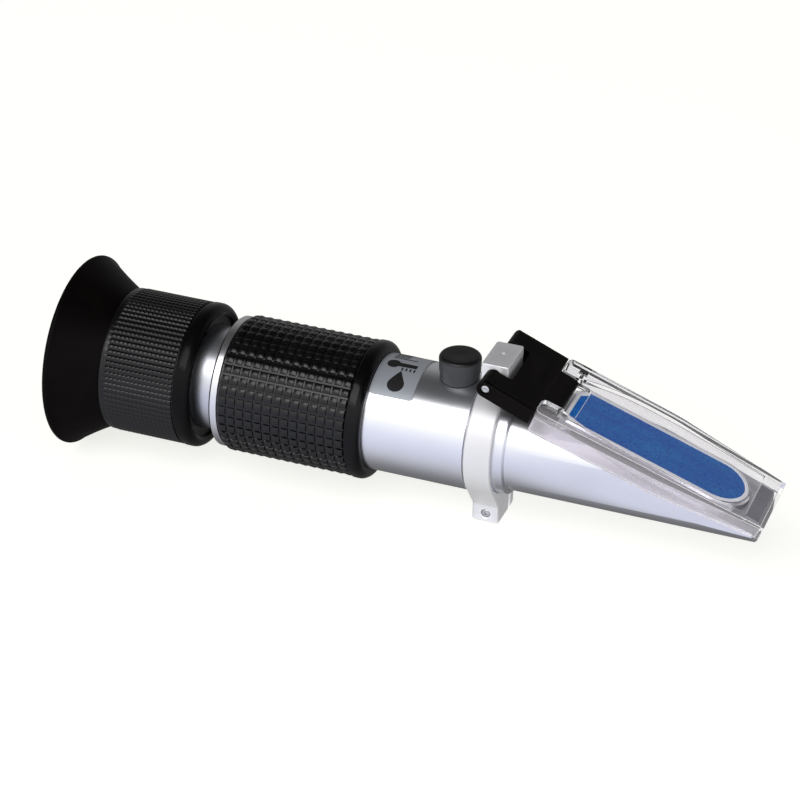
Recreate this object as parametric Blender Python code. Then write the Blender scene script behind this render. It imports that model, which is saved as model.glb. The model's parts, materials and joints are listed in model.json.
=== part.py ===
"""A hand-held refractometer, the kind that reads the sugar in juice or must through an eyepiece.

The instrument lies with its optical axis along X, the eyepiece towards -X, the prism towards +X, and +Z up.
It is drawn about the axis, with x = 0 halfway along it. At the end it is hung so that the origin is the
middle of the flat foot under the clamp. All sizes are in millimetres, and the meshes are in metres.
"""

import math

import bmesh
import bpy

MM = 0.001
ROUND = 48  # sides of a large turned piece
SMALL_ROUND = 24  # sides of a small or hidden turned piece
GAP = 0.05  # between pieces that are fixed together
RUN = 0.2  # between pieces that turn or slide in each other

# Driving sizes
HALF_LENGTH = 75.2
TUBE_R = 12.0
TUBE_BORE_R = 11.0

# Eyepiece
EYECUP_RIM_R = 20.1
EYECUP_WALL = 0.9
FOCUS_RING_R = 15.1
FOCUS_RING_X0, FOCUS_RING_X1 = -64.8, -44.8
FOCUS_LIP_X = -48.1
EYEPIECE_TUBE_R = 10.8
EYEPIECE_TUBE_X0, EYEPIECE_TUBE_X1 = -61.0, -27.5
EYEPIECE_BORE_R = 9.6
EYE_LENS_X, FIELD_LENS_X = -59.8, -48.4  # the eyepiece side of each lens's edge
LENS_EDGE, LENS_RIM = 1.4, 1.2
DAMPING_X, DAMPING_WIDTH, DAMPING_GROOVE_R = -32.0, 1.6, 10.1

# Body
RING_X, RING_R, RING_BORE_R = -40.7, 13.7, 11.7
TUBE_NOSE_R = 11.6  # the tube's thinner end, which the retaining ring screws onto
GRIP_X0, GRIP_X1, GRIP_R, GRIP_LIP_X = -38.7, -7.9, 14.1, -10.8
TUBE_END_X = 13.8
RETICLE_X, RETICLE_LENGTH, RETICLE_SEAT_R, RETICLE_APERTURE_R = -20.0, 4.0, 9.2, 8.0
BAFFLE_X, BAFFLE_APERTURE_R = -5.0, 6.0
LABEL_X1, LABEL_HALF_ANGLE, LABEL_THICK = 1.4, 43.0, 0.15

# Calibration
CALIBRATION_X = 8.6
CAP_TOP_Z, CAP_TOP_R, CAP_FOOT_R, CAP_BORE_R = 16.9, 4.33, 4.05, 3.2
BUSH_R, BUSH_Z0, BUSH_Z1 = 3.0, 11.0, 14.2
SCREW_HEAD_R, SCREW_SHAFT_R, SCREW_TIP_Z = 1.7, 1.1, 8.3
CELL_X0, CELL_X1, CELL_R, CELL_BORE_R = 5.8, 11.0, 10.3, 7.6

# Prism end
SLOPE = math.radians(19.0)  # how far the prism's face slants below the axis
NECK_R, NECK_X0, NECK_X1 = 11.2, 14.0, 21.75
HOUSING_R, HOUSING_BORE_R, HOUSING_END_X = 10.2, 8.4, 72.4
WINDOW_X, WINDOW_Z = 32.8, 10.49  # the hinge end of the prism's face
WINDOW_LENGTH, WINDOW_HALF_WIDTH = 37.4, 5.8
SEAL_WIDTH, SEAL_DEPTH, BEZEL_WIDTH = 0.8, 0.6, 1.6
SHOULDER_DEPTH = 1.6  # the casting's slanted face, below the prism's face

# Clamp
CLAMP_X0, CLAMP_X1, CLAMP_R = 13.9, 19.5, 12.5
LUG_HALF_WIDTH, LUG_Z0, LUG_Z1 = 5.0, -18.1, -14.0
SPLIT_Y0, SPLIT_Y1 = 1.8, 2.8
CLAMP_SCREW_X, CLAMP_SCREW_Z, CLAMP_SCREW_R = 16.75, -15.95, 0.85
BLOCK_X0, BLOCK_X1, BLOCK_HALF_WIDTH, BLOCK_Z = 14.6, 20.3, 4.9, 18.8

# Cover
PIN_X, PIN_Z, PIN_R, PIN_CLEARANCE = 17.65, 16.8, 0.8, 0.08
HOLDER_SLOPE = math.radians(22.5)
HOLDER_HALF_WIDTH, HOLDER_LENGTH = 11.35, 10.4
HOLDER_UNDER, HOLDER_OVER = -1.75, 1.6  # the slab's faces, measured square to it from the pin
KNUCKLE_R, NOTCH_HALF_WIDTH, NOTCH_LENGTH = 1.75, 5.9, 3.9
TONGUE_HALF_WIDTH = 5.9
PLATE_START, PLATE_END = -5.7, 44.0  # along the slope from the hinge end of the window
PLATE_GAP, PLATE_FLOOR, PLATE_WALL, RIDGE_WIDTH = 0.3, 1.3, 0.8, 1.9
CROSS_PIN_U, CROSS_PIN_W, CROSS_PIN_R = -1.8, 0.9, 0.35

MATERIALS = {  # colour, roughness, metallic
    "satin_aluminium": ((0.78, 0.79, 0.81), 0.3, 1.0),
    "white_alloy": ((0.86, 0.87, 0.87), 0.4, 0.6),
    "steel": ((0.62, 0.62, 0.63), 0.25, 1.0),
    "brass": ((0.78, 0.6, 0.28), 0.3, 1.0),
    "black_anodised": ((0.03, 0.03, 0.032), 0.5, 0.4),
    "rubber": ((0.02, 0.02, 0.022), 0.6, 0.0),
    "black_plastic": ((0.015, 0.014, 0.014), 0.35, 0.0),
    "clear_acrylic": ((0.9, 0.92, 0.93), 0.05, 0.0),
    "lens_glass": ((0.85, 0.93, 0.95), 0.02, 0.0),
    "blue_glass": ((0.03, 0.16, 0.5), 0.1, 0.0),
    "grey_label": ((0.5, 0.53, 0.56), 0.5, 0.2),
    "dark_grey": ((0.16, 0.16, 0.17), 0.5, 0.2),
    "white_sealant": ((0.85, 0.87, 0.88), 0.5, 0.0),
}


# ---------------------------------------------------------------- building blocks


def material(name):
    """The named material, made the first time it is asked for."""
    found = bpy.data.materials.get(name)
    if found:
        return found
    made = bpy.data.materials.new(name)
    made.use_nodes = True
    colour, roughness, metallic = MATERIALS[name]
    shader = made.node_tree.nodes["Principled BSDF"]
    shader.inputs["Base Color"].default_value = (*colour, 1.0)
    shader.inputs["Roughness"].default_value = roughness
    shader.inputs["Metallic"].default_value = metallic
    return made


def add(name, bm, material_name, at=(0, 0, 0), turn=(0, 0, 0), parent=None):
    """Makes an object of a bmesh that is in millimetres. at is in millimetres too, in the parent's frame."""
    bmesh.ops.recalc_face_normals(bm, faces=bm.faces)
    bmesh.ops.scale(bm, vec=(MM, MM, MM), verts=bm.verts)
    mesh = bpy.data.meshes.new(name)
    bm.to_mesh(mesh)
    bm.free()
    mesh.shade_smooth()
    mesh.set_sharp_from_angle(angle=math.radians(30))
    obj = bpy.data.objects.new(name, mesh)
    bpy.context.scene.collection.objects.link(obj)
    obj.data.materials.append(material(material_name))
    obj.location = [value * MM for value in at]
    obj.rotation_euler = turn
    obj.parent = parent
    return obj


def joint_empty(name, at, parent=None):
    """An empty on a joint's axis, which the pieces that move together hang from."""
    empty = bpy.data.objects.new(name, None)
    empty.location = [value * MM for value in at]
    empty.parent = parent
    bpy.context.scene.collection.objects.link(empty)
    return empty


def turned(profile, sides=ROUND, first=0.0, sweep=360.0):
    """A closed (x, radius) outline turned about X, all the way round or through sweep degrees from first."""
    bm = bmesh.new()
    whole = sweep == 360.0
    steps = sides if whole else sides + 1
    rings = []
    for x, radius in profile:
        if radius == 0:
            rings.append([bm.verts.new((x, 0, 0))] * steps)
            continue
        angles = [math.radians(first + sweep * i / sides) for i in range(steps)]
        rings.append([bm.verts.new((x, radius * math.cos(a), radius * math.sin(a))) for a in angles])
    for one, other in zip(rings, rings[1:] + rings[:1]):
        for i in range(sides):
            j = (i + 1) % steps
            corners = list(dict.fromkeys((one[i], one[j], other[j], other[i])))
            if len(corners) > 2:
                bm.faces.new(corners)
    if not whole:
        bm.faces.new([ring[0] for ring in rings])
        bm.faces.new([ring[-1] for ring in rings])
    return bm


def tube(x0, x1, outer, inner):
    """The outline of a plain tube or washer, for turned()."""
    return [(x0, inner), (x0, outer), (x1, outer), (x1, inner)]


def rod(x0, x1, radius):
    """The outline of a plain rod, for turned()."""
    return [(x0, 0), (x0, radius), (x1, radius), (x1, 0)]


def lens(x0, edge, radius, bulge0, bulge1, points=4):
    """A lens's outline: an edge this thick, and domes this high towards -X and +X inside a flat rim."""
    shares = [i / points for i in range(points + 1)]
    dome_r = radius - LENS_RIM
    front = [(x0 - bulge0 * (1 - share**2), dome_r * share) for share in shares]
    back = [(x0 + edge + bulge1 * (1 - share**2), dome_r * share) for share in reversed(shares)]
    return [*front, (x0, radius), (x0 + edge, radius), *back]


def arc(centre, radius, start, end, points):
    """Points on a circle from start to end degrees, both included."""
    angles = [math.radians(start + (end - start) * i / points) for i in range(points + 1)]
    return [(centre[0] + radius * math.cos(a), centre[1] + radius * math.sin(a)) for a in angles]


def extruded(outline, low, high, along):
    """A closed outline pushed along one axis: the other two axes hold the outline, in X, Y, Z order."""
    places = {"x": lambda a, b, c: (c, a, b), "y": lambda a, b, c: (a, c, b), "z": lambda a, b, c: (a, b, c)}
    place = places[along]
    return lofted([[place(a, b, c) for a, b in outline] for c in (low, high)])


def lofted(sections):
    """A solid through sections that have the same number of points, with flat ends."""
    bm = bmesh.new()
    loops = [[bm.verts.new(point) for point in section] for section in sections]
    for one, other in zip(loops, loops[1:]):
        for i in range(len(one)):
            j = (i + 1) % len(one)
            bm.faces.new((one[i], one[j], other[j], other[i]))
    bm.faces.new(loops[0])
    bm.faces.new(loops[-1])
    return bm


def box(x0, x1, y0, y1, z0, z1):
    return extruded([(x0, y0), (x1, y0), (x1, y1), (x0, y1)], z0, z1, "z")


def hang_all(place):
    """Hangs the instrument from one empty, which puts the middle of the foot's underside at the origin."""
    loose = [obj for obj in bpy.data.objects if obj.parent is None]
    root = joint_empty("instrument", place)
    for obj in loose:
        obj.parent = root


def helper(obj):
    """Marks an object that only cuts or joins, and isn't a part."""
    obj.hide_render = True
    obj.display_type = "WIRE"
    return obj


def combine(target, other, operation):
    """A Boolean on target by a helper object: DIFFERENCE, UNION or INTERSECT."""
    modifier = target.modifiers.new(f"{operation.lower()}_{other.name}", "BOOLEAN")
    modifier.operation = operation
    modifier.object = helper(other)
    modifier.solver = "EXACT"


# ---------------------------------------------------------------- eyepiece


def make_eyepiece():
    """All that turns with the focus ring, on the focus joint, and the ring that only slides with it."""
    joint = joint_empty("focus_axis", (0, 0, 0))
    neck_r, neck_x = 12.6, FOCUS_RING_X0 + 3.2
    rim_x = -HALF_LENGTH
    eyecup = [
        (neck_x, neck_r),
        (FOCUS_RING_X0 - GAP, neck_r),
        (FOCUS_RING_X0 - GAP, FOCUS_RING_R),
        (rim_x + 1.6, EYECUP_RIM_R - 0.45),
        (rim_x + 0.7, EYECUP_RIM_R),
        (rim_x, EYECUP_RIM_R - 0.3),
        (rim_x + 0.2, EYECUP_RIM_R - EYECUP_WALL),
        (FOCUS_RING_X0 - 1.6, FOCUS_RING_R - 1.5),
        (FOCUS_RING_X0 + 0.6, neck_r - 1.2),
        (neck_x, neck_r - 1.2),
    ]
    add("eyecup", turned(eyecup), "rubber", parent=joint)

    bore_r = EYEPIECE_TUBE_R + GAP
    focus_ring = [
        (FOCUS_RING_X0, neck_r + GAP),
        (FOCUS_RING_X0, FOCUS_RING_R),
        (FOCUS_LIP_X, FOCUS_RING_R),
        (FOCUS_LIP_X + 0.1, FOCUS_RING_R - 0.35),
        (FOCUS_LIP_X + 0.5, FOCUS_RING_R - 0.35),
        (FOCUS_LIP_X + 0.6, FOCUS_RING_R + 0.1),
        *arc((FOCUS_RING_X1 - 2.0, FOCUS_RING_R - 1.9), 2.0, 90, 0, 4),
        (FOCUS_RING_X1 - 0.9, 12.1),
        (FOCUS_RING_X1 - 0.7, bore_r),
        (neck_x + GAP, bore_r),
        (neck_x + GAP, neck_r + GAP),
    ]
    add("focus_ring", turned(focus_ring), "black_plastic", parent=joint)

    lip_r = 8.6
    groove_x1 = DAMPING_X + DAMPING_WIDTH
    eyepiece_tube = [
        (EYEPIECE_TUBE_X0, lip_r),
        (EYEPIECE_TUBE_X0, EYEPIECE_TUBE_R),
        (DAMPING_X, EYEPIECE_TUBE_R),
        (DAMPING_X, DAMPING_GROOVE_R),
        (groove_x1, DAMPING_GROOVE_R),
        (groove_x1, EYEPIECE_TUBE_R),
        (EYEPIECE_TUBE_X1, EYEPIECE_TUBE_R),
        (EYEPIECE_TUBE_X1, EYEPIECE_BORE_R),
        (EYE_LENS_X - GAP, EYEPIECE_BORE_R),
        (EYE_LENS_X - GAP, lip_r),
    ]
    add("eyepiece_tube", turned(eyepiece_tube), "satin_aluminium", parent=joint)

    lens_r = EYEPIECE_BORE_R - GAP
    eye_lens = lens(EYE_LENS_X, LENS_EDGE, lens_r, 1.0, 1.6)
    add("eye_lens", turned(eye_lens, SMALL_ROUND), "lens_glass", parent=joint)
    field_lens = lens(FIELD_LENS_X, LENS_EDGE, lens_r, 1.2, 0.8)
    add("field_lens", turned(field_lens, SMALL_ROUND), "lens_glass", parent=joint)
    spacer = tube(EYE_LENS_X + LENS_EDGE + GAP, FIELD_LENS_X - GAP, lens_r, lip_r)
    add("lens_spacer", turned(spacer, SMALL_ROUND), "black_anodised", parent=joint)
    retainer_x = FIELD_LENS_X + LENS_EDGE + GAP
    retainer = turned(tube(retainer_x, retainer_x + 1.8, lens_r, lip_r), SMALL_ROUND)
    add("lens_retaining_ring", retainer, "black_anodised", parent=joint)

    damping = tube(DAMPING_X + 0.15, groove_x1 - 0.15, TUBE_BORE_R - 0.05, DAMPING_GROOVE_R + 0.15)
    carriage = joint_empty("focus_carriage", (0, 0, 0))
    add("damping_ring", turned(damping, SMALL_ROUND), "rubber", parent=carriage)


# ---------------------------------------------------------------- body


def make_body():
    """The main tube with its grip, label, reticle and baffle."""
    nose_x = RING_X + 0.3
    main_tube = [
        (nose_x, TUBE_BORE_R),
        (nose_x, TUBE_NOSE_R),
        (GRIP_X0 - GAP, TUBE_NOSE_R),
        (GRIP_X0 - GAP, TUBE_R),
        (TUBE_END_X, TUBE_R),
        (TUBE_END_X, TUBE_BORE_R),
    ]
    shell = add("main_tube", turned(main_tube), "satin_aluminium")
    hole = turned(rod(TUBE_BORE_R - 3.0, TUBE_R + 2.0, BUSH_R + GAP), SMALL_ROUND)
    upright = (0, -math.pi / 2, 0)
    combine(shell, add("bush_hole", hole, "steel", at=(CALIBRATION_X, 0, 0), turn=upright), "DIFFERENCE")

    ring = tube(RING_X, GRIP_X0 - 3 * GAP, RING_R, RING_BORE_R)
    add("grip_retaining_ring", turned(ring), "satin_aluminium")

    inner_r = TUBE_R + GAP
    lip_r = GRIP_R + 0.3
    grip = [
        (GRIP_X0, inner_r),
        (GRIP_X0, GRIP_R),
        (GRIP_LIP_X, GRIP_R),
        (GRIP_LIP_X + 0.1, GRIP_R - 0.4),
        (GRIP_LIP_X + 0.4, GRIP_R - 0.4),
        (GRIP_LIP_X + 0.5, lip_r),
        *arc((GRIP_X1 - 1.8, lip_r - 1.8), 1.8, 90, 0, 4),
        (GRIP_X1, inner_r),
    ]
    add("grip_sleeve", turned(grip), "rubber")

    label = tube(GRIP_X1 + 0.1, LABEL_X1, inner_r + LABEL_THICK, inner_r)
    band = turned(label, 12, 90 - LABEL_HALF_ANGLE, 2 * LABEL_HALF_ANGLE)
    add("label_band", band, "grey_label")

    seat_x = RETICLE_X + RETICLE_LENGTH - 1.0
    holder = [
        (RETICLE_X, RETICLE_SEAT_R),
        (RETICLE_X, TUBE_BORE_R - GAP),
        (seat_x + 1.0, TUBE_BORE_R - GAP),
        (seat_x + 1.0, RETICLE_APERTURE_R),
        (seat_x, RETICLE_APERTURE_R),
        (seat_x, RETICLE_SEAT_R),
    ]
    add("reticle_holder", turned(holder, SMALL_ROUND), "black_anodised")
    disc_x = seat_x - 1.2
    disc = rod(disc_x, seat_x - GAP, RETICLE_SEAT_R - GAP)
    add("reticle_disc", turned(disc, SMALL_ROUND), "lens_glass")
    retainer = tube(RETICLE_X + 0.2, disc_x - GAP, RETICLE_SEAT_R - GAP, RETICLE_APERTURE_R)
    add("reticle_retaining_ring", turned(retainer, SMALL_ROUND), "black_anodised")
    baffle = tube(BAFFLE_X, BAFFLE_X + 1.0, TUBE_BORE_R - GAP, BAFFLE_APERTURE_R)
    add("light_baffle", turned(baffle, SMALL_ROUND), "black_anodised")


def make_temperature_strip():
    """The bimetal strip that shifts the reading with temperature, on its foot at the bottom of the tube."""
    foot_x0, foot_x1, screw_x = -2.0, 1.6, -0.2
    half_width, under_z, thick = 3.0, -10.15, 0.4
    strip_end_x, rise_z = CELL_X0 - 0.8, -7.6
    profile = [
        (foot_x0, under_z),
        (strip_end_x, under_z),
        (strip_end_x, rise_z),
        (strip_end_x - thick, rise_z),
        (strip_end_x - thick, under_z + thick),
        (foot_x0, under_z + thick),
    ]
    downwards = (0, math.pi / 2, 0)
    screw_z = under_z + thick + GAP
    shank_r = 0.6

    strip = add("bimetal_strip", extruded(profile, -half_width, half_width, "y"), "brass")
    hole = turned(rod(-1.0, 1.0, shank_r + GAP), SMALL_ROUND)
    combine(strip, add("strip_hole", hole, "steel", at=(screw_x, 0, under_z), turn=downwards), "DIFFERENCE")

    foot = turned(tube(foot_x0, foot_x1, TUBE_BORE_R - GAP, 10.2 + GAP), 8, 255.0, 30.0)
    foot_obj = add("bimetal_foot", foot, "brass")
    hole = turned(rod(-1.0, 2.0, shank_r + GAP), SMALL_ROUND)
    combine(foot_obj, add("foot_hole", hole, "steel", at=(screw_x, 0, under_z), turn=downwards), "DIFFERENCE")
    level = box(foot_x0 - 1, foot_x1 + 1, -5.0, 5.0, under_z - GAP, under_z + 3.0)
    combine(foot_obj, add("foot_top", level, "steel"), "DIFFERENCE")

    screw = turned([(0, 0), (0, 1.3), (0.8, 1.3), (0.8, shank_r), (1.5, shank_r), (1.5, 0)], SMALL_ROUND)
    add("bimetal_screw", screw, "steel", at=(screw_x, 0, screw_z + 0.8), turn=downwards)


# ---------------------------------------------------------------- calibration


def make_calibration():
    """The cap, the captive adjusting screw in its bush, and the lens cell that the screw lifts."""
    upright = (0, -math.pi / 2, 0)
    place = (CALIBRATION_X, 0, 0)
    screw_seat_z = BUSH_Z0 + 1.0
    bush = [
        (BUSH_Z0, SCREW_SHAFT_R + RUN),
        (BUSH_Z0, BUSH_R),
        (BUSH_Z1, BUSH_R),
        (BUSH_Z1, SCREW_HEAD_R + RUN),
        (screw_seat_z, SCREW_HEAD_R + RUN),
        (screw_seat_z, SCREW_SHAFT_R + RUN),
    ]
    add("calibration_bush", turned(bush, SMALL_ROUND), "brass", at=place, turn=upright)

    screw_joint = joint_empty("calibration_axis", place)
    head_z0, head_z1 = screw_seat_z + 0.1, BUSH_Z1 - 0.3
    screw = [
        (SCREW_TIP_Z, 0),
        (SCREW_TIP_Z, SCREW_SHAFT_R),
        (head_z0, SCREW_SHAFT_R),
        (head_z0, SCREW_HEAD_R),
        (head_z1, SCREW_HEAD_R),
        (head_z1, 0),
    ]
    screw_solid = turned(screw, SMALL_ROUND)
    screw_obj = add("calibration_screw", screw_solid, "steel", turn=upright, parent=screw_joint)
    slot = add("screw_slot", box(-3, 3, -0.3, 0.3, head_z1 - 0.8, head_z1 + 1), "steel", parent=screw_joint)
    combine(screw_obj, slot, "DIFFERENCE")

    cap_joint = joint_empty("cap_axis", place)
    crown = 0.7
    foot_z = 10.6
    cap = [
        (foot_z, CAP_BORE_R),
        (foot_z, CAP_FOOT_R),
        (CAP_TOP_Z - crown, CAP_TOP_R),
        (CAP_TOP_Z, CAP_TOP_R - crown),
        (CAP_TOP_Z, 0),
        (CAP_TOP_Z - 1.6, 0),
        (CAP_TOP_Z - 1.6, CAP_BORE_R),
    ]
    cap_obj = add("calibration_cap", turned(cap, 32), "rubber", turn=upright, parent=cap_joint)
    saddle = turned(rod(0, 20, TUBE_R + 3 * GAP), 2 * ROUND)
    combine(cap_obj, add("cap_saddle", saddle, "steel"), "DIFFERENCE")

    cell_joint = joint_empty("lens_cell_slide", (0, 0, 0))
    shelf_r, shelf_x = CELL_BORE_R - 1.0, CELL_X0 + 1.0
    cell = [
        (CELL_X0, shelf_r),
        (CELL_X0, CELL_R),
        (CELL_X1, CELL_R),
        (CELL_X1, CELL_BORE_R),
        (shelf_x, CELL_BORE_R),
        (shelf_x, shelf_r),
    ]
    cell_obj = add("objective_cell", turned(cell, 32), "black_anodised", parent=cell_joint)
    hole = turned(rod(5.0, 12.0, SCREW_SHAFT_R + RUN), SMALL_ROUND)
    combine(cell_obj, add("cell_hole", hole, "steel", at=place, turn=upright), "DIFFERENCE")
    lens_x = shelf_x + 0.8
    glass = turned(lens(lens_x, LENS_EDGE, CELL_BORE_R - GAP, 0.6, 0.9), SMALL_ROUND)
    add("objective_lens", glass, "lens_glass", parent=cell_joint)
    retainer = turned(tube(lens_x + LENS_EDGE + GAP, CELL_X1 - 0.1, CELL_BORE_R - GAP, shelf_r), SMALL_ROUND)
    add("objective_retainer", retainer, "black_anodised", parent=cell_joint)


# ---------------------------------------------------------------- prism end


def slanted(name, bm, material_name, parent=None):
    """Adds a piece drawn in the prism's frame: u down the slope from the hinge end, v across, w out of it."""
    at = (WINDOW_X, 0, WINDOW_Z) if parent is None else (WINDOW_X - PIN_X, 0, WINDOW_Z - PIN_Z)
    return add(name, bm, material_name, at=at, turn=(0, SLOPE, 0), parent=parent)


def window_outline(margin):
    """The prism's face, grown by margin: a square end with cut corners at the hinge, and a round end."""
    half = WINDOW_HALF_WIDTH + margin
    corner = 1.6
    end = arc((WINDOW_LENGTH - WINDOW_HALF_WIDTH, 0), half, -90, 90, 12)
    near = [(-margin, -half + corner), (corner - margin, -half)]
    far = [(corner - margin, half), (-margin, half - corner)]
    return [*near, *end, *far]


def make_prism_end():
    """The slanted casting with its prism, and the sealant and end plate that hold the prism in."""
    spigot_x = TUBE_END_X - 2.4
    spigot_r = TUBE_BORE_R - GAP
    seal_x0, seal_x1, seal_r = spigot_x + 0.6, spigot_x + 1.7, 10.3
    outer = [
        (spigot_x, 0),
        (spigot_x, spigot_r),
        (seal_x0, spigot_r),
        (seal_x0, seal_r),
        (seal_x1, seal_r),
        (seal_x1, spigot_r),
        (NECK_X0, spigot_r),
        (NECK_X0, NECK_R),
        (NECK_X1 - 0.3, NECK_R),
        (NECK_X1, NECK_R - 0.3),
        (NECK_X1 + 0.6, HOUSING_R),
        (HOUSING_END_X, HOUSING_R),
        (HOUSING_END_X, 0),
    ]
    housing = add("prism_housing", turned(outer), "satin_aluminium")
    above = slanted("above_shoulder", box(-60, 60, -15, 15, -SHOULDER_DEPTH, 30), "steel")
    combine(housing, above, "DIFFERENCE")
    for side in (-1, 1):  # the flanks draw in towards the tip, inside the cover's skirts
        flank = [(40, 10.3 * side), (76, 8.0 * side), (76, 15 * side), (40, 15 * side)]
        flank_obj = add("flank_near" if side < 0 else "flank_far", extruded(flank, -12, 12, "z"), "steel")
        combine(housing, flank_obj, "DIFFERENCE")
    bezel = extruded(window_outline(BEZEL_WIDTH), -4.0, 0.0, "z")
    combine(housing, slanted("bezel", bezel, "steel"), "UNION")

    roof = 3.2
    cavity = add("cavity", turned(rod(spigot_x - 5, 65.0, HOUSING_BORE_R)), "steel")
    combine(cavity, slanted("cavity_roof", box(-60, 60, -15, 15, -roof, 30), "steel"), "DIFFERENCE")
    combine(housing, cavity, "DIFFERENCE")
    pocket_margin = 2 * GAP
    pocket = extruded(window_outline(pocket_margin), -roof - 0.3, 2.0, "z")
    combine(housing, slanted("prism_pocket", pocket, "steel"), "DIFFERENCE")
    half = WINDOW_HALF_WIDTH + pocket_margin
    deep = box(-pocket_margin, 6.0, -half, half, -8.0, -roof + 0.1)
    combine(housing, slanted("prism_well", deep, "steel"), "DIFFERENCE")
    rebate = extruded(window_outline(SEAL_WIDTH + GAP), -SEAL_DEPTH - GAP, 2.0, "z")
    combine(housing, slanted("seal_rebate", rebate, "steel"), "DIFFERENCE")

    wedge = [(0, -0.02), (WINDOW_LENGTH, -0.02), (WINDOW_LENGTH, -1.0), (13.5, -7.6), (0, -7.6)]
    prism = slanted("measuring_prism", extruded(wedge, -9, 9, "y"), "blue_glass")
    combine(prism, slanted("prism_plan", extruded(window_outline(0), -9, 1, "z"), "steel"), "INTERSECT")

    seal = slanted("prism_seal", extruded(window_outline(SEAL_WIDTH), -SEAL_DEPTH, 0.0, "z"), "white_sealant")
    opening = extruded(window_outline(GAP), -SEAL_DEPTH - 1, 1.0, "z")
    combine(seal, slanted("seal_opening", opening, "steel"), "DIFFERENCE")

    end_plate = box(39.7, 42.6, -6.2, 6.2, -SHOULDER_DEPTH + GAP, -0.5)
    slanted("prism_end_plate", end_plate, "dark_grey")

    ring = tube(seal_x0 + 0.1, seal_x1 - 0.1, TUBE_BORE_R - GAP, seal_r + 3 * GAP)
    add("housing_seal_ring", turned(ring, SMALL_ROUND), "rubber")


def make_clamp():
    """The split ring round the housing's neck, with the hinge block on top and the screwed lug below."""
    tangent_angle = 42.0  # where the ring's side leaves the circle for the lug, in degrees below the middle
    ring_outline = [
        *arc((0, 0), CLAMP_R, -tangent_angle, 180 + tangent_angle, 40),
        (-LUG_HALF_WIDTH, LUG_Z1),
        (-LUG_HALF_WIDTH, LUG_Z0),
        (LUG_HALF_WIDTH, LUG_Z0),
        (LUG_HALF_WIDTH, LUG_Z1),
    ]
    clamp = add("clamp_ring", extruded(ring_outline, CLAMP_X0, CLAMP_X1, "x"), "white_alloy")
    block = box(BLOCK_X0, BLOCK_X1, -BLOCK_HALF_WIDTH, BLOCK_HALF_WIDTH, 8.0, BLOCK_Z)
    combine(clamp, add("hinge_block", block, "steel"), "UNION")
    bore = turned(rod(CLAMP_X0 - 5, BLOCK_X1 + 5, NECK_R + GAP))
    combine(clamp, add("clamp_bore", bore, "steel"), "DIFFERENCE")
    split = box(CLAMP_X0 - 5, CLAMP_X1 + 5, SPLIT_Y0, SPLIT_Y1, LUG_Z0 - 5, -8.0)
    combine(clamp, add("clamp_split", split, "steel"), "DIFFERENCE")

    across = (0, 0, math.pi / 2)
    pin_hole = turned(rod(-9, 9, PIN_R + PIN_CLEARANCE), SMALL_ROUND)
    combine(clamp, add("block_hole", pin_hole, "steel", at=(PIN_X, 0, PIN_Z), turn=across), "DIFFERENCE")
    screw_hole = turned(rod(-9, 4.2, CLAMP_SCREW_R + GAP), SMALL_ROUND)
    screw_at = (CLAMP_SCREW_X, 0, CLAMP_SCREW_Z)
    combine(clamp, add("lug_hole", screw_hole, "steel", at=screw_at, turn=across), "DIFFERENCE")

    screw_y0 = -LUG_HALF_WIDTH + 0.25
    screw_rod = turned(rod(screw_y0, 4.0, CLAMP_SCREW_R), SMALL_ROUND)
    screw = add("clamp_screw", screw_rod, "steel", screw_at, across)
    socket = turned(rod(screw_y0 - 1, screw_y0 + 0.7, 0.45), 6)
    combine(screw, add("screw_socket", socket, "steel", at=screw_at, turn=across), "DIFFERENCE")

    for name, side in (("hinge_bush_near", -1), ("hinge_bush_far", 1)):
        inner_y, outer_y = side * (BLOCK_HALF_WIDTH + GAP), side * (NOTCH_HALF_WIDTH - 0.1)
        bush = turned(tube(inner_y, outer_y, 1.5, PIN_R + PIN_CLEARANCE), SMALL_ROUND)
        add(name, bush, "steel", at=(PIN_X, 0, PIN_Z), turn=across)


# ---------------------------------------------------------------- cover


def on_holder(along, out):
    """A point of the holder's side view, measured from the pin along its slab and square to it."""
    c, s = math.cos(HOLDER_SLOPE), math.sin(HOLDER_SLOPE)
    return (along * c + out * s, -along * s + out * c)


def on_prism(u, w):
    """A point of the prism's frame, in X and Z from the pin."""
    c, s = math.cos(SLOPE), math.sin(SLOPE)
    return (WINDOW_X - PIN_X + u * c + w * s, WINDOW_Z - PIN_Z - u * s + w * c)


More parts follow.
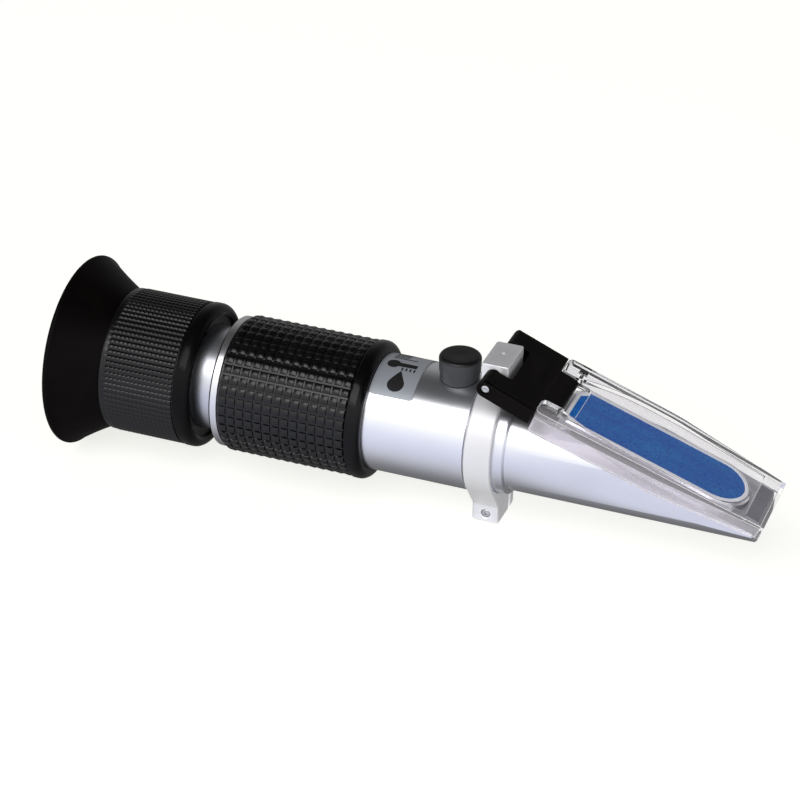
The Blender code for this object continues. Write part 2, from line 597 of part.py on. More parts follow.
def make_holder(joint):
    """The black holder: a slab on two knuckles, with a tongue between the plate's ears."""
    top = HOLDER_OVER
    blend = math.degrees(math.asin(top / KNUCKLE_R))
    slope = math.degrees(HOLDER_SLOPE)
    under = math.degrees(math.asin(HOLDER_UNDER / KNUCKLE_R))
    slab = [
        *arc((0, 0), KNUCKLE_R, blend - slope, 360 + under - slope, 12),
        on_holder(HOLDER_LENGTH, HOLDER_UNDER),
        on_holder(HOLDER_LENGTH, top),
    ]
    slab_solid = extruded(slab, -HOLDER_HALF_WIDTH, HOLDER_HALF_WIDTH, "y")
    holder = add("plate_holder", slab_solid, "black_plastic", parent=joint)
    tongue = [
        on_holder(HOLDER_LENGTH - 2.0, top),
        on_holder(14.7, top - 0.1),
        on_prism(-0.5, PLATE_GAP + 0.05),
        on_prism(-6.5, PLATE_GAP + 0.05),
    ]
    tongue_solid = extruded(tongue, -TONGUE_HALF_WIDTH, TONGUE_HALF_WIDTH, "y")
    tongue_obj = add("tongue", tongue_solid, "steel", parent=joint)
    combine(holder, tongue_obj, "UNION")
    notch = box(-9, NOTCH_LENGTH, -NOTCH_HALF_WIDTH, NOTCH_HALF_WIDTH, -9, 9)
    notch_obj = add("holder_notch", notch, "steel", turn=(0, HOLDER_SLOPE, 0), parent=joint)
    combine(holder, notch_obj, "DIFFERENCE")
    across = (0, 0, math.pi / 2)
    pin_hole = turned(rod(-15, 15, PIN_R + GAP), SMALL_ROUND)
    combine(holder, add("knuckle_holes", pin_hole, "steel", turn=across, parent=joint), "DIFFERENCE")

    pin_end = HOLDER_HALF_WIDTH - 0.05
    add("hinge_pin", turned(rod(-pin_end, pin_end, PIN_R), SMALL_ROUND), "steel", turn=across, parent=joint)
    return holder


def plate_section(u, inset, low, high):
    """One rectangle across the cover plate, square to u, drawn in from the plate's edge by inset."""
    middle_u, middle_half, start_half, end_half = 20.3, 10.9, 11.35, 8.9
    if u < middle_u:
        share = (u - PLATE_START) / (middle_u - PLATE_START)
        half = start_half + (middle_half - start_half) * share
    else:
        share = (u - middle_u) / (PLATE_END - middle_u)
        half = middle_half + (end_half - middle_half) * share
    half -= inset
    return [(u, -half, low), (u, -half, high), (u, half, high), (u, half, low)]


def plate_top(u):
    """The height of the ridges over the prism's face, falling towards the tip."""
    return 2.2 if u < 18.0 else 2.2 - 1.2 * (u - 18.0) / (PLATE_END - 18.0)


def plate_foot(u):
    """How low the skirts reach, on the prism's frame."""
    return -2.9 + 1.0 * max(0.0, u - 22.0) / (PLATE_END - 22.0)


def make_plate(joint, holder):
    """The clear daylight plate: a floor that lies on the prism, ridges along its top, and skirts round it."""
    stations = (PLATE_START, 0.0, 18.0, 20.3, 22.0, 33.0, PLATE_END)
    body = lofted([plate_section(u, 0.0, plate_foot(u), plate_top(u)) for u in stations])
    plate = slanted("daylight_plate", body, "clear_acrylic", parent=joint)
    inner = (PLATE_START - 3.0, 0.0, 20.3, 33.0, PLATE_END - PLATE_WALL)
    under = lofted([plate_section(u, PLATE_WALL, -8.0, PLATE_GAP) for u in inner])
    combine(plate, slanted("plate_hollow", under, "steel", parent=joint), "DIFFERENCE")
    dip = (2.5, 20.3, 33.0, 41.5)
    recess = lofted([plate_section(u, RIDGE_WIDTH, min(PLATE_FLOOR, plate_top(u) - 0.25), 8.0) for u in dip])
    combine(plate, slanted("plate_recess", recess, "steel", parent=joint), "DIFFERENCE")
    half = TONGUE_HALF_WIDTH + 2 * GAP
    slot = box(PLATE_START - 5, 1.4, -half, half, -9, 9)
    combine(plate, slanted("tongue_slot", slot, "steel", parent=joint), "DIFFERENCE")

    across = (0, 0, math.pi / 2)
    x, z = on_prism(CROSS_PIN_U, CROSS_PIN_W)
    hole = turned(rod(-15, 15, CROSS_PIN_R + GAP), SMALL_ROUND)
    hole_obj = add("cross_pin_hole", hole, "steel", at=(x, 0, z), turn=across, parent=joint)
    combine(plate, hole_obj, "DIFFERENCE")
    combine(holder, hole_obj, "DIFFERENCE")
    pin = turned(rod(-10.6, 10.6, CROSS_PIN_R), 12)
    add("plate_cross_pin", pin, "steel", at=(x, 0, z), turn=across, parent=joint)


def main():
    for obj in list(bpy.data.objects):
        bpy.data.objects.remove(obj)
    make_eyepiece()
    make_body()
    make_temperature_strip()
    make_calibration()
    make_prism_end()
    make_clamp()
    cover_joint = joint_empty("cover_axis", (PIN_X, 0, PIN_Z))
    make_plate(cover_joint, make_holder(cover_joint))
    hang_all((-(CLAMP_X0 + CLAMP_X1) / 2, 0, -LUG_Z0))


main()
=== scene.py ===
"""The looks of a hand-held refractometer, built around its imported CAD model.

Every piece is drawn in millimetres about the optical axis, with x along the instrument and z up from the
axis, and then made in metres. Lengths and radii come from the CAD nodes, so each new piece fills the place of
the one it stands for. Pieces of the prism end are drawn in the prism's own frame: u down the slope, v across
and w out of the face.
"""

import json
import math

import bmesh
import bpy
from mathutils import Matrix, Vector

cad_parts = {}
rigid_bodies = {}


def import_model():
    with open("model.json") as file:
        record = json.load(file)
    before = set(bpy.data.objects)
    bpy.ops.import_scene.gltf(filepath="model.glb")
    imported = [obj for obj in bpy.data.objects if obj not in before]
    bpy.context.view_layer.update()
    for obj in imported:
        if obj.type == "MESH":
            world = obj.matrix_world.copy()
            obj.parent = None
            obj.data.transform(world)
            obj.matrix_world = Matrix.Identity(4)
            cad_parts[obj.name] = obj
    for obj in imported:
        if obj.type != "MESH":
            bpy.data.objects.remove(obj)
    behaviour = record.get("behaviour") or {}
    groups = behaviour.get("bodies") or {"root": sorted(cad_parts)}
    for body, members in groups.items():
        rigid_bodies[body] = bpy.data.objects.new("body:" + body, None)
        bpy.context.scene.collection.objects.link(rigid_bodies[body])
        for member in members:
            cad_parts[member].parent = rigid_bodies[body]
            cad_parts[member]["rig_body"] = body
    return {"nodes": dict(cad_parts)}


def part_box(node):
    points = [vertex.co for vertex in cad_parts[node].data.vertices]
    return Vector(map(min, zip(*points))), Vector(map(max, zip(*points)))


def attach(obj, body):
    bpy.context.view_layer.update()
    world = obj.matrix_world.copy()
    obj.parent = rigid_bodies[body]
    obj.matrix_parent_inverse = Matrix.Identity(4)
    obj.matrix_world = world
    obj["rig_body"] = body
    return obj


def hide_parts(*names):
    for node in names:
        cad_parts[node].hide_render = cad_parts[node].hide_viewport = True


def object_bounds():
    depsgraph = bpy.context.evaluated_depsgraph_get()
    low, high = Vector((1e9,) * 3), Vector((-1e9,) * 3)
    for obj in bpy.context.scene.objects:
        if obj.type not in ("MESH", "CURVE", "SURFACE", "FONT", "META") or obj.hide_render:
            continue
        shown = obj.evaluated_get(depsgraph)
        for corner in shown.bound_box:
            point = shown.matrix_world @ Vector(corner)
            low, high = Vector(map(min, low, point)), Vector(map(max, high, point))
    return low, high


MM = 0.001
EDGES = 1  # the material slot of a piece's rounded edges

# how many sides a round piece has
HOUSING_SIDES, TUBE_SIDES, CAP_SIDES, SCREW_SIDES, PIN_SIDES, TINY_SIDES = 192, 144, 96, 64, 48, 32

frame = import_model()
cad_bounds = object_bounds()

AXIS_Z = sum(corner.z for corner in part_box("main_tube")) / 2 / MM
SLOPE = math.radians(19.0)  # how far the prism's face slants below the axis
HOLDER_SLOPE = math.radians(22.5)


# ---- places taken from the CAD


def ends(node):
    """Where a node starts and ends along X, in millimetres."""
    low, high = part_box(node)
    return low.x / MM, high.x / MM


def radius(node):
    """Half a node's width, which is the radius of a turned one, in millimetres."""
    low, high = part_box(node)
    return (high.y - low.y) / 2 / MM


def heights(node):
    """A node's lowest and highest point above the optical axis, in millimetres."""
    low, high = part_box(node)
    return low.z / MM - AXIS_Z, high.z / MM - AXIS_Z


def widths(node):
    """Where a node starts and ends along Y, in millimetres."""
    low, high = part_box(node)
    return low.y / MM, high.y / MM


def middle_x(node):
    return sum(ends(node)) / 2


def moved(x, z):
    """A frame moved along the instrument and up, by millimetres."""
    return Matrix.Translation((x * MM, 0, z * MM))


AXIS = moved(0, AXIS_Z)
SEAL_X0, _ = ends("prism_seal")
SEAL_WIDTH, SEAL_DEPTH = 0.8, 0.6
WINDOW_Z = heights("prism_seal")[1] - SEAL_WIDTH * math.sin(SLOPE)
WINDOW_X = SEAL_X0 + SEAL_WIDTH * math.cos(SLOPE) + SEAL_DEPTH * math.sin(SLOPE)
PIN_X, PIN_Z = middle_x("hinge_pin"), sum(heights("hinge_pin")) / 2
PRISM = AXIS @ moved(WINDOW_X, WINDOW_Z) @ Matrix.Rotation(SLOPE, 4, "Y")
PIN = AXIS @ moved(PIN_X, PIN_Z)
HOLDER = PIN @ Matrix.Rotation(HOLDER_SLOPE, 4, "Y")
UPRIGHT = Matrix.Rotation(-math.pi / 2, 4, "Y")  # turns +X to +Z
ACROSS = Matrix.Rotation(math.pi / 2, 4, "Z")  # turns +X to +Y
CROSS_PIN = PRISM @ moved(-1.8, 0.9) @ ACROSS


def upright_at(x):
    """A frame whose +X points up from the axis, at x along the instrument."""
    return AXIS @ moved(x, 0) @ UPRIGHT


# ---- outlines


LONGEST_ROUND = 0.45  # the most that a rounded corner takes of the side next to it
SHARPEST = 0.5  # keeps the points of sharp corners from running away when an outline is inset


def arc(centre, size, start, end, steps):
    """Points on a circle from start to end degrees, both included."""
    angles = [math.radians(start + (end - start) * i / steps) for i in range(steps + 1)]
    return [(centre[0] + size * math.cos(a), centre[1] + size * math.sin(a)) for a in angles]


def fillet(outline, size, steps=4, only=None):
    """A closed outline with its corners rounded. only picks corners by number."""
    made = []
    count = len(outline)
    for i, point in enumerate(outline):
        corner = Vector(point)
        if only is not None and i not in only:
            made.append(tuple(corner))
            continue
        before, after = Vector(outline[i - 1]) - corner, Vector(outline[(i + 1) % count]) - corner
        reach = min(size, before.length * LONGEST_ROUND, after.length * LONGEST_ROUND)
        start, end = corner + before.normalized() * reach, corner + after.normalized() * reach
        for k in range(steps + 1):
            t = k / steps
            made.append(tuple(start * (1 - t) ** 2 + corner * (2 * t * (1 - t)) + end * t**2))
    return made


def spread(start, end, count):
    return [start + (end - start) * i / count for i in range(count + 1)]


def inset(outline, distance):
    """A closed outline moved in by distance, whichever way round it runs."""
    points = [Vector(point) for point in outline]
    count = len(points)
    area = sum(points[i - 1].cross(points[i]) for i in range(count))
    turn = 1 if area > 0 else -1
    made = []
    for i, point in enumerate(points):
        one = (point - points[i - 1]).normalized()
        other = (points[(i + 1) % count] - point).normalized()
        normal_one, normal_other = Vector((-one.y, one.x)), Vector((-other.y, other.x))
        bisector = (normal_one + normal_other).normalized()
        stretch = max(bisector.dot(normal_one), SHARPEST)
        made.append(tuple(point + bisector * (turn * distance / stretch)))
    return made


# ---- meshes


def turned(profile, sides=TUBE_SIDES, angles=None):
    """A closed (x, radius) outline turned about X. A radius may be a function of the side's number."""
    angles = angles or [2 * math.pi * i / sides for i in range(sides)]
    bm = bmesh.new()
    rings = []
    for x, size in profile:
        if size == 0:
            rings.append([bm.verts.new((x, 0, 0))] * len(angles))
            continue
        ring = []
        for j, angle in enumerate(angles):
            r = size(j) if callable(size) else size
            ring.append(bm.verts.new((x, r * math.cos(angle), r * math.sin(angle))))
        rings.append(ring)
    relief = []
    for (_, size), one, other in zip(profile, rings, rings[1:] + rings[:1]):
        for i in range(len(angles)):
            j = (i + 1) % len(angles)
            corners = list(dict.fromkeys((one[i], one[j], other[j], other[i])))
            if len(corners) > 2:
                face = bm.faces.new(corners)
                if callable(size):
                    relief.append(face)
    if relief:
        bmesh.ops.triangulate(bm, faces=relief, quad_method="LONG_EDGE")
    return bm


def rod(x0, x1, size, sides=PIN_SIDES):
    return turned([(x0, 0), (x0, size), (x1, size), (x1, 0)], sides)


def lofted(sections):
    """A solid through sections that have the same number of (x, y, z) points, with flat ends."""
    bm = bmesh.new()
    loops = [[bm.verts.new(point) for point in section] for section in sections]
    for one, other in zip(loops, loops[1:]):
        for i in range(len(one)):
            j = (i + 1) % len(one)
            bm.faces.new((one[i], one[j], other[j], other[i]))
    bm.faces.new(loops[0])
    bm.faces.new(loops[-1])
    return bm


PLACES = {
    "x": lambda a, b, c: (c, a, b),
    "y": lambda a, b, c: (a, c, b),
    "z": lambda a, b, c: (a, b, c),
}


def slab(outline, low, high, along="z", edge=0.0, steps=3):
    """An outline pushed along one axis, with its two rims rounded by edge."""
    place = PLACES[along]
    levels = [(0.0, low), (0.0, high)]
    if edge:
        shares = [math.radians(90 * i / steps) for i in range(steps + 1)]
        start = [(edge * (1 - math.sin(a)), low + edge * (1 - math.cos(a))) for a in shares]
        levels = start + [(distance, high + low - level) for distance, level in reversed(start)]
    sections = []
    for distance, level in levels:
        points = inset(outline, distance) if distance else outline
        sections.append([place(a, b, level) for a, b in points])
    return lofted(sections)


def box_outline(x0, x1, y0, y1):
    return [(x0, y0), (x1, y0), (x1, y1), (x0, y1)]


def solid(bm, place=AXIS, name="solid"):
    """An object from a shape drawn in millimetres in the frame of place: a piece, or a cutter for one."""
    bmesh.ops.recalc_face_normals(bm, faces=bm.faces)
    bmesh.ops.scale(bm, vec=(MM, MM, MM), verts=bm.verts)
    mesh = bpy.data.meshes.new(name)
    bm.to_mesh(mesh)
    bm.free()
    obj = bpy.data.objects.new(name, mesh)
    bpy.context.scene.collection.objects.link(obj)
    obj.matrix_world = place
    return obj


def settle(obj):
    """Makes an object's modifiers part of its mesh."""
    bpy.context.view_layer.update()
    seen = obj.evaluated_get(bpy.context.evaluated_depsgraph_get())
    mesh = bpy.data.meshes.new_from_object(seen)
    obj.modifiers.clear()
    obj.data = mesh


def combine(obj, *tools, operation="DIFFERENCE"):
    for helper in tools:
        modifier = obj.modifiers.new("combine", "BOOLEAN")
        modifier.operation = operation
        modifier.object = helper
        modifier.solver = "EXACT"
        settle(obj)
        bpy.data.objects.remove(helper)


def soften(obj, width):
    """Rounds an object's sharp edges by width in millimetres, and puts them in the EDGES slot."""
    modifier = obj.modifiers.new("soften", "BEVEL")
    modifier.material = EDGES
    modifier.width = width * MM
    modifier.segments = 3
    modifier.limit_method = "ANGLE"
    modifier.angle_limit = math.radians(35)
    modifier.miter_outer = "MITER_ARC"
    settle(obj)


def coat(mesh, *finishes):
    """Gives a mesh one material, or two: the second is for its rounded edges."""
    mesh.materials.clear()
    for finish in finishes:
        mesh.materials.append(FINISH[finish])


def finish_surface(obj, finish, sharp, edge_finish=None):
    """Shades a piece smooth but for edges sharper than sharp degrees, and gives it its material."""
    obj.data.shade_smooth()
    obj.data.set_sharp_from_angle(angle=math.radians(sharp))
    weigh = obj.modifiers.new("weigh", "WEIGHTED_NORMAL")
    weigh.keep_sharp = True
    settle(obj)
    of_edges = [face.index for face in obj.data.polygons if face.material_index == EDGES]
    coat(obj.data, *([finish, edge_finish] if edge_finish else [finish]))
    if edge_finish:
        for i in of_edges:
            obj.data.polygons[i].material_index = EDGES


def dress(obj, finish, node, sharp=30, edge_finish=None):
    """Gives a finished piece its look, and puts it in its CAD node's place on that node's body."""
    obj.name = f"{node}_look"
    finish_surface(obj, finish, sharp, edge_finish)
    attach(obj, frame["nodes"][node]["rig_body"])
    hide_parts(node)


def detail(name, bm, finish, body, slot):
    """A small piece that adds to a CAD node, and stands for none."""
    obj = solid(bm, name=name)
    finish_surface(obj, finish, 30)
    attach(obj, body)


# ---- materials


class Shader:
    """A Principled material that is built up step by step."""

    def __init__(self, name, colour, roughness, metallic=0.0):
        self.material = bpy.data.materials.new(name)
        self.material.use_nodes = True
        self.nodes = self.material.node_tree.nodes
        self.links = self.material.node_tree.links
        self.out = self.nodes["Principled BSDF"]
        self.colour = (*colour, 1.0)
        self.out.inputs["Base Color"].default_value = self.colour
        self.out.inputs["Roughness"].default_value = roughness
        self.out.inputs["Metallic"].default_value = metallic
        self.coords = self.add("ShaderNodeTexCoord").outputs["Object"]
        self.normal = None

    def add(self, kind, **values):
        node = self.nodes.new(kind)
        for name, value in values.items():
            setattr(node, name, value)
        return node

    def link(self, start, end):
        self.links.new(start, end)

    def set(self, **values):
        for name, value in values.items():
            self.out.inputs[name.replace("_", " ")].default_value = value
        return self

    def along(self, axis):
        """How far along an axis of the piece's own frame a point lies, in metres."""
        split = self.add("ShaderNodeSeparateXYZ")
        self.link(self.coords, split.inputs["Vector"])
        return split.outputs[axis]

    def noise(self, scale, detail=3.0, stretch=(1, 1, 1)):
        """A noise's factor. scale is in features a metre, and stretch multiplies it along each axis."""
        mapping = self.add("ShaderNodeMapping")
        mapping.inputs["Scale"].default_value = stretch
        self.link(self.coords, mapping.inputs["Vector"])
        texture = self.add("ShaderNodeTexNoise")
        texture.inputs["Scale"].default_value = scale
        texture.inputs["Detail"].default_value = detail
        self.link(mapping.outputs["Vector"], texture.inputs["Vector"])
        return texture.outputs["Fac"]

    def ranged(self, factor, low, high, start=0.3, end=0.7):
        """A factor spread over a range of values."""
        node = self.add("ShaderNodeMapRange")
        node.inputs["From Min"].default_value = start
        node.inputs["From Max"].default_value = end
        node.inputs["To Min"].default_value = low
        node.inputs["To Max"].default_value = high
        self.link(factor, node.inputs["Value"])
        return node.outputs["Result"]

    def bump(self, factor, depth):
        """Raises the surface by depth metres where the factor is 1, on top of the bumps before it."""
        node = self.add("ShaderNodeBump")
        node.inputs["Distance"].default_value = depth
        node.inputs["Strength"].default_value = 1.0
        self.link(factor, node.inputs["Height"])
        if self.normal:
            self.link(self.normal, node.inputs["Normal"])
        self.normal = node.outputs["Normal"]
        self.link(self.normal, self.out.inputs["Normal"])
        return self

    def rough(self, factor, low, high):
        self.link(self.ranged(factor, low, high), self.out.inputs["Roughness"])
        return self

    def tint(self, factor, other, start=0.35, end=0.75):
        """Mixes another colour in where the factor is high."""
        node = self.add("ShaderNodeMix", data_type="RGBA")
        source = self.out.inputs["Base Color"]
        if source.is_linked:
            self.link(source.links[0].from_socket, node.inputs[6])
        else:
            node.inputs[6].default_value = self.colour
        node.inputs[7].default_value = (*other, 1.0)
        self.link(self.ranged(factor, 0.0, 1.0, start, end), node.inputs[0])
        self.link(node.outputs[2], source)
        return self

    def let_light_through(self):
        """Lets a lamp's light pass straight through, so that clear plastic doesn't darken what it covers."""
        path = self.add("ShaderNodeLightPath")
        either = self.add("ShaderNodeMath", operation="MAXIMUM")
        self.link(path.outputs["Is Shadow Ray"], either.inputs[0])
        self.link(path.outputs["Is Diffuse Ray"], either.inputs[1])
        mix = self.add("ShaderNodeMixShader")
        self.link(either.outputs[0], mix.inputs["Fac"])
        self.link(self.out.outputs["BSDF"], mix.inputs[1])
        self.link(self.add("ShaderNodeBsdfTransparent").outputs["BSDF"], mix.inputs[2])
        self.link(mix.outputs["Shader"], self.nodes["Material Output"].inputs["Surface"])
        return self

    def sides(self, other):
        """Mixes another colour in where the surface stands upright: a painted sheen on the sides."""
        split = self.add("ShaderNodeSeparateXYZ")
        self.link(self.add("ShaderNodeNewGeometry").outputs["Normal"], split.inputs["Vector"])
        lean = self.add("ShaderNodeMath", operation="ABSOLUTE")
        self.link(split.outputs["Z"], lean.inputs[0])
        upright = self.add("ShaderNodeMath", operation="SUBTRACT")
        upright.inputs[0].default_value = 1.0
        self.link(lean.outputs[0], upright.inputs[1])
        return self.tint(upright.outputs[0], other, 0.5, 1.0)

    def dull_beyond(self, x, shine, dull):
        """Makes a piece shine less where it lies beyond x, in millimetres."""
        shares = self.ranged(self.along("X"), shine, dull, (x - 0.2) * MM, (x + 0.2) * MM)
        self.link(shares, self.out.inputs["Specular IOR Level"])
        return self

    def edge_wear_and_highlight(self, other, start=0.53, end=0.6):
        """Mixes another colour in along the edges that stick out: partly wear, partly a painted highlight
        along them.
        """
        return self.tint(self.add("ShaderNodeNewGeometry").outputs["Pointiness"], other, start, end)


def satin_metal(name, colour, roughness, lines=(1, 0.02, 0.02)):
    """Metal with a fine satin grain, and faint lines left by turning."""
    made = Shader(name, colour, roughness, 1.0)
    turning = made.noise(4200, 2.0, lines)
    grain = made.noise(9000, 2.0)
    cloud = made.noise(60, 4.0)
    made.rough(cloud, roughness - 0.03, roughness + 0.05)
    made.tint(cloud, [c * 0.93 for c in colour], 0.4, 0.8)
    made.bump(turning, 0.0000025).bump(grain, 0.0000015)
    return made


def rubber(name, colour, roughness, shine, edge=None):
    """Rubber with a fine moulded grain and dust in it."""
    made = Shader(name, colour, roughness).set(Specular_IOR_Level=shine)
    grain = made.noise(3500, 4.0)
    dust = made.noise(140, 6.0)
    made.tint(dust, [c * 1.9 + 0.001 for c in colour], 0.5, 0.85)
    made.rough(dust, roughness - 0.05, roughness + 0.1)
    made.bump(grain, 0.000006)
    # lighter edges that stick out: partly wear, partly a painted highlight
    made.edge_wear_and_highlight(edge or [c * 3 + 0.008 for c in colour])
    return made


def plastic(name, colour, roughness, shine, wear_and_highlight=0.012):
    """Moulded plastic: nearly smooth, with faint flow marks. The last number is how much lighter its edges
    are: partly wear, partly a painted highlight along them.
    """
    made = Shader(name, colour, roughness).set(Specular_IOR_Level=shine)
    grain = made.noise(5000, 3.0)
    flow = made.noise(90, 3.0, (0.4, 1, 1))
    made.rough(flow, roughness - 0.05, roughness + 0.07)
    made.tint(flow, [c * 1.3 + 0.001 for c in colour], 0.4, 0.8)
    made.bump(grain, 0.000004)
    made.edge_wear_and_highlight([c * 1.5 + wear_and_highlight for c in colour])
    return made


ALUMINIUM = (0.86, 0.87, 0.91)
CAST = (1, 1, 1)  # a cast surface's grain runs no particular way
GRIP_COLLAR, FOCUS_COLLAR = 3.0, 3.4  # how long the smooth ends of the grip and the focus ring are


def metals():
    clamp = satin_metal("clamp_alloy", (0.73, 0.73, 0.75), 0.4, CAST)
    # near-white edges: a painted highlight along the clamp's chamfers
    clamp.set(Metallic=0.45).edge_wear_and_highlight((0.95, 0.95, 0.96), 0.52, 0.58)
    return {
        "aluminium": satin_metal("satin_aluminium", ALUMINIUM, 0.24),
        "casting": satin_metal("cast_alloy", ALUMINIUM, 0.27, CAST),
        "clamp": clamp,
        "eyepiece_tube": satin_metal("eyepiece_tube_satin", (0.68, 0.69, 0.74), 0.3),
        "bright_ring": satin_metal("turned_ring", (0.8, 0.8, 0.82), 0.2),
        "steel": satin_metal("steel", (0.6, 0.6, 0.6), 0.2),
        "brass": satin_metal("brass", (0.78, 0.6, 0.28), 0.25),
        "black_anodised": satin_metal("black_anodised", (0.03, 0.03, 0.032), 0.45).set(Metallic=0.5),
    }


def rubbers():
    """The rubber finishes. The grip's smooth collar shines less than its studs."""
    # the grip's edge colour, a little lighter than the rubber, paints a faint highlight along the studs'
    # edges
    grip = rubber("grip_rubber", (0.0012, 0.0012, 0.0015), 0.17, 0.42, (0.0015, 0.0015, 0.002))
    cap = rubber("cap_rubber", (0.0016, 0.0016, 0.002), 0.34, 0.42)
    return {
        "eyecup": rubber("eyecup_rubber", (0.0016, 0.0007, 0.0007), 0.45, 0.06),
        "grip": grip.dull_beyond(ends("grip_sleeve")[1] - GRIP_COLLAR, 0.42, 0.2),
        # the cap's upright side is painted lighter than its top: a painted sheen
        "cap": cap.sides((0.04, 0.042, 0.046)),
        "seal": rubber("seal_rubber", (0.02, 0.02, 0.02), 0.45, 0.3),
    }


def plastics():
    """The plastic finishes, with the label, its ink and the sealant."""
    focus = plastic("focus_ring_plastic", (0.0014, 0.0013, 0.0014), 0.18, 0.38, 0.0)
    return {
        "focus": focus.dull_beyond(ends("focus_ring")[1] - FOCUS_COLLAR, 0.38, 0.12),
        "black_plastic": plastic("black_plastic", (0.0018, 0.0012, 0.001), 0.3, 0.05, 0.001),
        # a lighter, glossier copy of black_plastic for the holder's rounded edges: a painted highlight along
        # them
        "black_plastic_edge": plastic("black_plastic_edge", (0.02, 0.019, 0.019), 0.14, 1.0),
        "label": plastic("grey_label", (0.24, 0.255, 0.28), 0.36, 0.5).set(Metallic=0.3),
        "ink": plastic("label_ink", (0.003, 0.003, 0.0035), 0.5, 0.15),
        "dark_grey": plastic("end_plate_grey", (0.19, 0.18, 0.21), 0.4, 0.4),
        "sealant": plastic("white_sealant", (0.83, 0.84, 0.88), 0.4, 0.5),
    }


def prism_glass():
    """Blue glass with streaks along the slope and a faint mottle."""
    glass = Shader("prism_glass", (0.004, 0.122, 0.51), 0.22).set(Specular_IOR_Level=0.2)
    glass.tint(glass.noise(300, 6.0, (0.25, 1, 1)), (0.008, 0.178, 0.56), 0.4, 0.65)
    glass.tint(glass.noise(1500, 5.0), (0.001, 0.08, 0.45), 0.5, 0.65)
    return glass.bump(glass.noise(900, 5.0, (0.3, 1, 1)), 0.000004)


def clear_acrylic():
    """Clear plastic. The plate's side walls are tinted grey as painted shade, and the near one is made a
    little milky too.
    """
    near, far = (-0.0078, -0.0098), (0.0078, 0.0098)  # where across the plate the painted grey shade starts, and is full
    clear = Shader("clear_acrylic", (0.95, 0.945, 0.965), 0.02).set(IOR=1.4, Specular_IOR_Level=0.18)
    clear.rough(clear.noise(700, 4.0), 0.005, 0.03)
    clear.bump(clear.noise(160, 3.0), 0.00001)
    across = clear.along("Y")
    clear.tint(across, (0.66, 0.63, 0.68), *near)
    clear.tint(across, (0.86, 0.85, 0.88), *far)
    clear.link(clear.ranged(across, 1.0, 0.72, *near), clear.out.inputs["Transmission Weight"])
    return clear.let_light_through()


def acrylic_edges():
    """The plate's rounded edges: frosted and nearly white, which paints a highlight along them, and painted
    dark along the far side up to the plate's end, as a painted dark reflection.
    """
    edges = Shader("clear_acrylic_edge", (0.97, 0.97, 0.98), 0.25)
    edges.set(IOR=1.4, Transmission_Weight=0.1, Specular_IOR_Level=0.25)
    # painted dark reflection along the far edges, lifted again at the plate's end
    edges.tint(edges.along("Y"), (0.01, 0.01, 0.012), 0.0062, 0.007)
    edges.tint(edges.along("X"), (0.9, 0.9, 0.92), 0.0425, 0.0433)
    edges.rough(edges.noise(1200, 4.0), 0.2, 0.35)
    edges.bump(edges.noise(2500, 3.0), 0.000004)
    return edges.let_light_through()


def lens_glass():
    glass = Shader("lens_glass", (0.9, 0.95, 0.96), 0.01).set(Transmission_Weight=1.0, IOR=1.52)
    glass.rough(glass.noise(300, 3.0), 0.005, 0.03)
    glass.tint(glass.noise(40, 2.0), (0.86, 0.9, 0.97))
    return glass.let_light_through()


def make_finishes():
    """Every material, by a short name."""
    shaders = {**metals(), **rubbers(), **plastics()}
    shaders["prism"] = prism_glass()
    shaders["clear"] = clear_acrylic()
    shaders["clear_edge"] = acrylic_edges()
    shaders["lens"] = lens_glass()
    return {name: shader.material for name, shader in shaders.items()}


FINISH = make_finishes()


# ---- eyepiece


def widening(t):
    """How far the eyecup has widened at t along it: a little faster towards its rim."""
    return 0.86 * t + 0.14 * t**2.2


def make_eyecup():
    """The rubber cone, with a rolled rim, and a collar over the end of the focus ring."""
    x0, x1 = ends("eyecup")
    ring_x, _ = ends("focus_ring")
    rim, waist = radius("eyecup"), radius("focus_ring") - 0.9
    wall, collar, roll = 1.0, 11.4, 0.75
    steps = 12
    outer, inner = [], []
    for t in spread(0, 1, steps):
        x = ring_x - 0.3 + (x0 + 1.3 - ring_x + 0.3) * t
        outer.append((x, waist + (rim - 0.35 - waist) * widening(t)))
    lip = arc((x0 + roll, rim - roll), roll, 60, 200, 8)
    for t in spread(1, 0, steps):
        x = ring_x - 1.6 + (x0 + 1.6 - ring_x + 1.6) * t
        inner.append((x, waist - wall + (rim - 0.3 - waist) * widening(t)))
    floor = [(ring_x + 0.6, collar + 0.5), (ring_x + 1.2, collar), (x1, collar)]
    back = [(x1, waist - 1.1), (ring_x + 0.1, waist - 1.1), (ring_x + 0.05, waist - 0.1)]
    eyecup = solid(turned(outer + lip + inner + floor + back))
    dress(eyecup, "eyecup", "eyecup", 50)


# how far along its pitch each point of a rib or a stud is, and how high
RIB = ((0, 0), (0.2, 0.8), (0.3, 1), (0.7, 1), (0.8, 0.8))
STUD = ((0, 0), (0.09, 0), (0.13, 0.6), (0.4, 1), (0.6, 1), (0.87, 0.6), (0.91, 0))


def pitched(count, pattern):
    """The angles of a pattern that repeats round a ring."""
    return [2 * math.pi * (i + share) / count for i in range(count) for share, _ in pattern]


def relief(size, depth, cross, pattern, level):
    """A ring's radius at each of its sides, where its ribs or studs stand at level."""

    def at(side):
        up = pattern[side % len(pattern)][1]
        return size - depth * (1 - up) - cross * (1 - level) * up

    return at


def relief_rows(x0, x1, rows, size, depth, cross, pattern):
    """Rows of ribs or studs. depth is that of the grooves along the ring, and cross of those round it."""
    points = [(row + share, level) for row in range(rows) for share, level in pattern]
    pitch = (x1 - x0) / rows
    return [(x0 + place * pitch, relief(size, depth, cross, pattern, level)) for place, level in points]


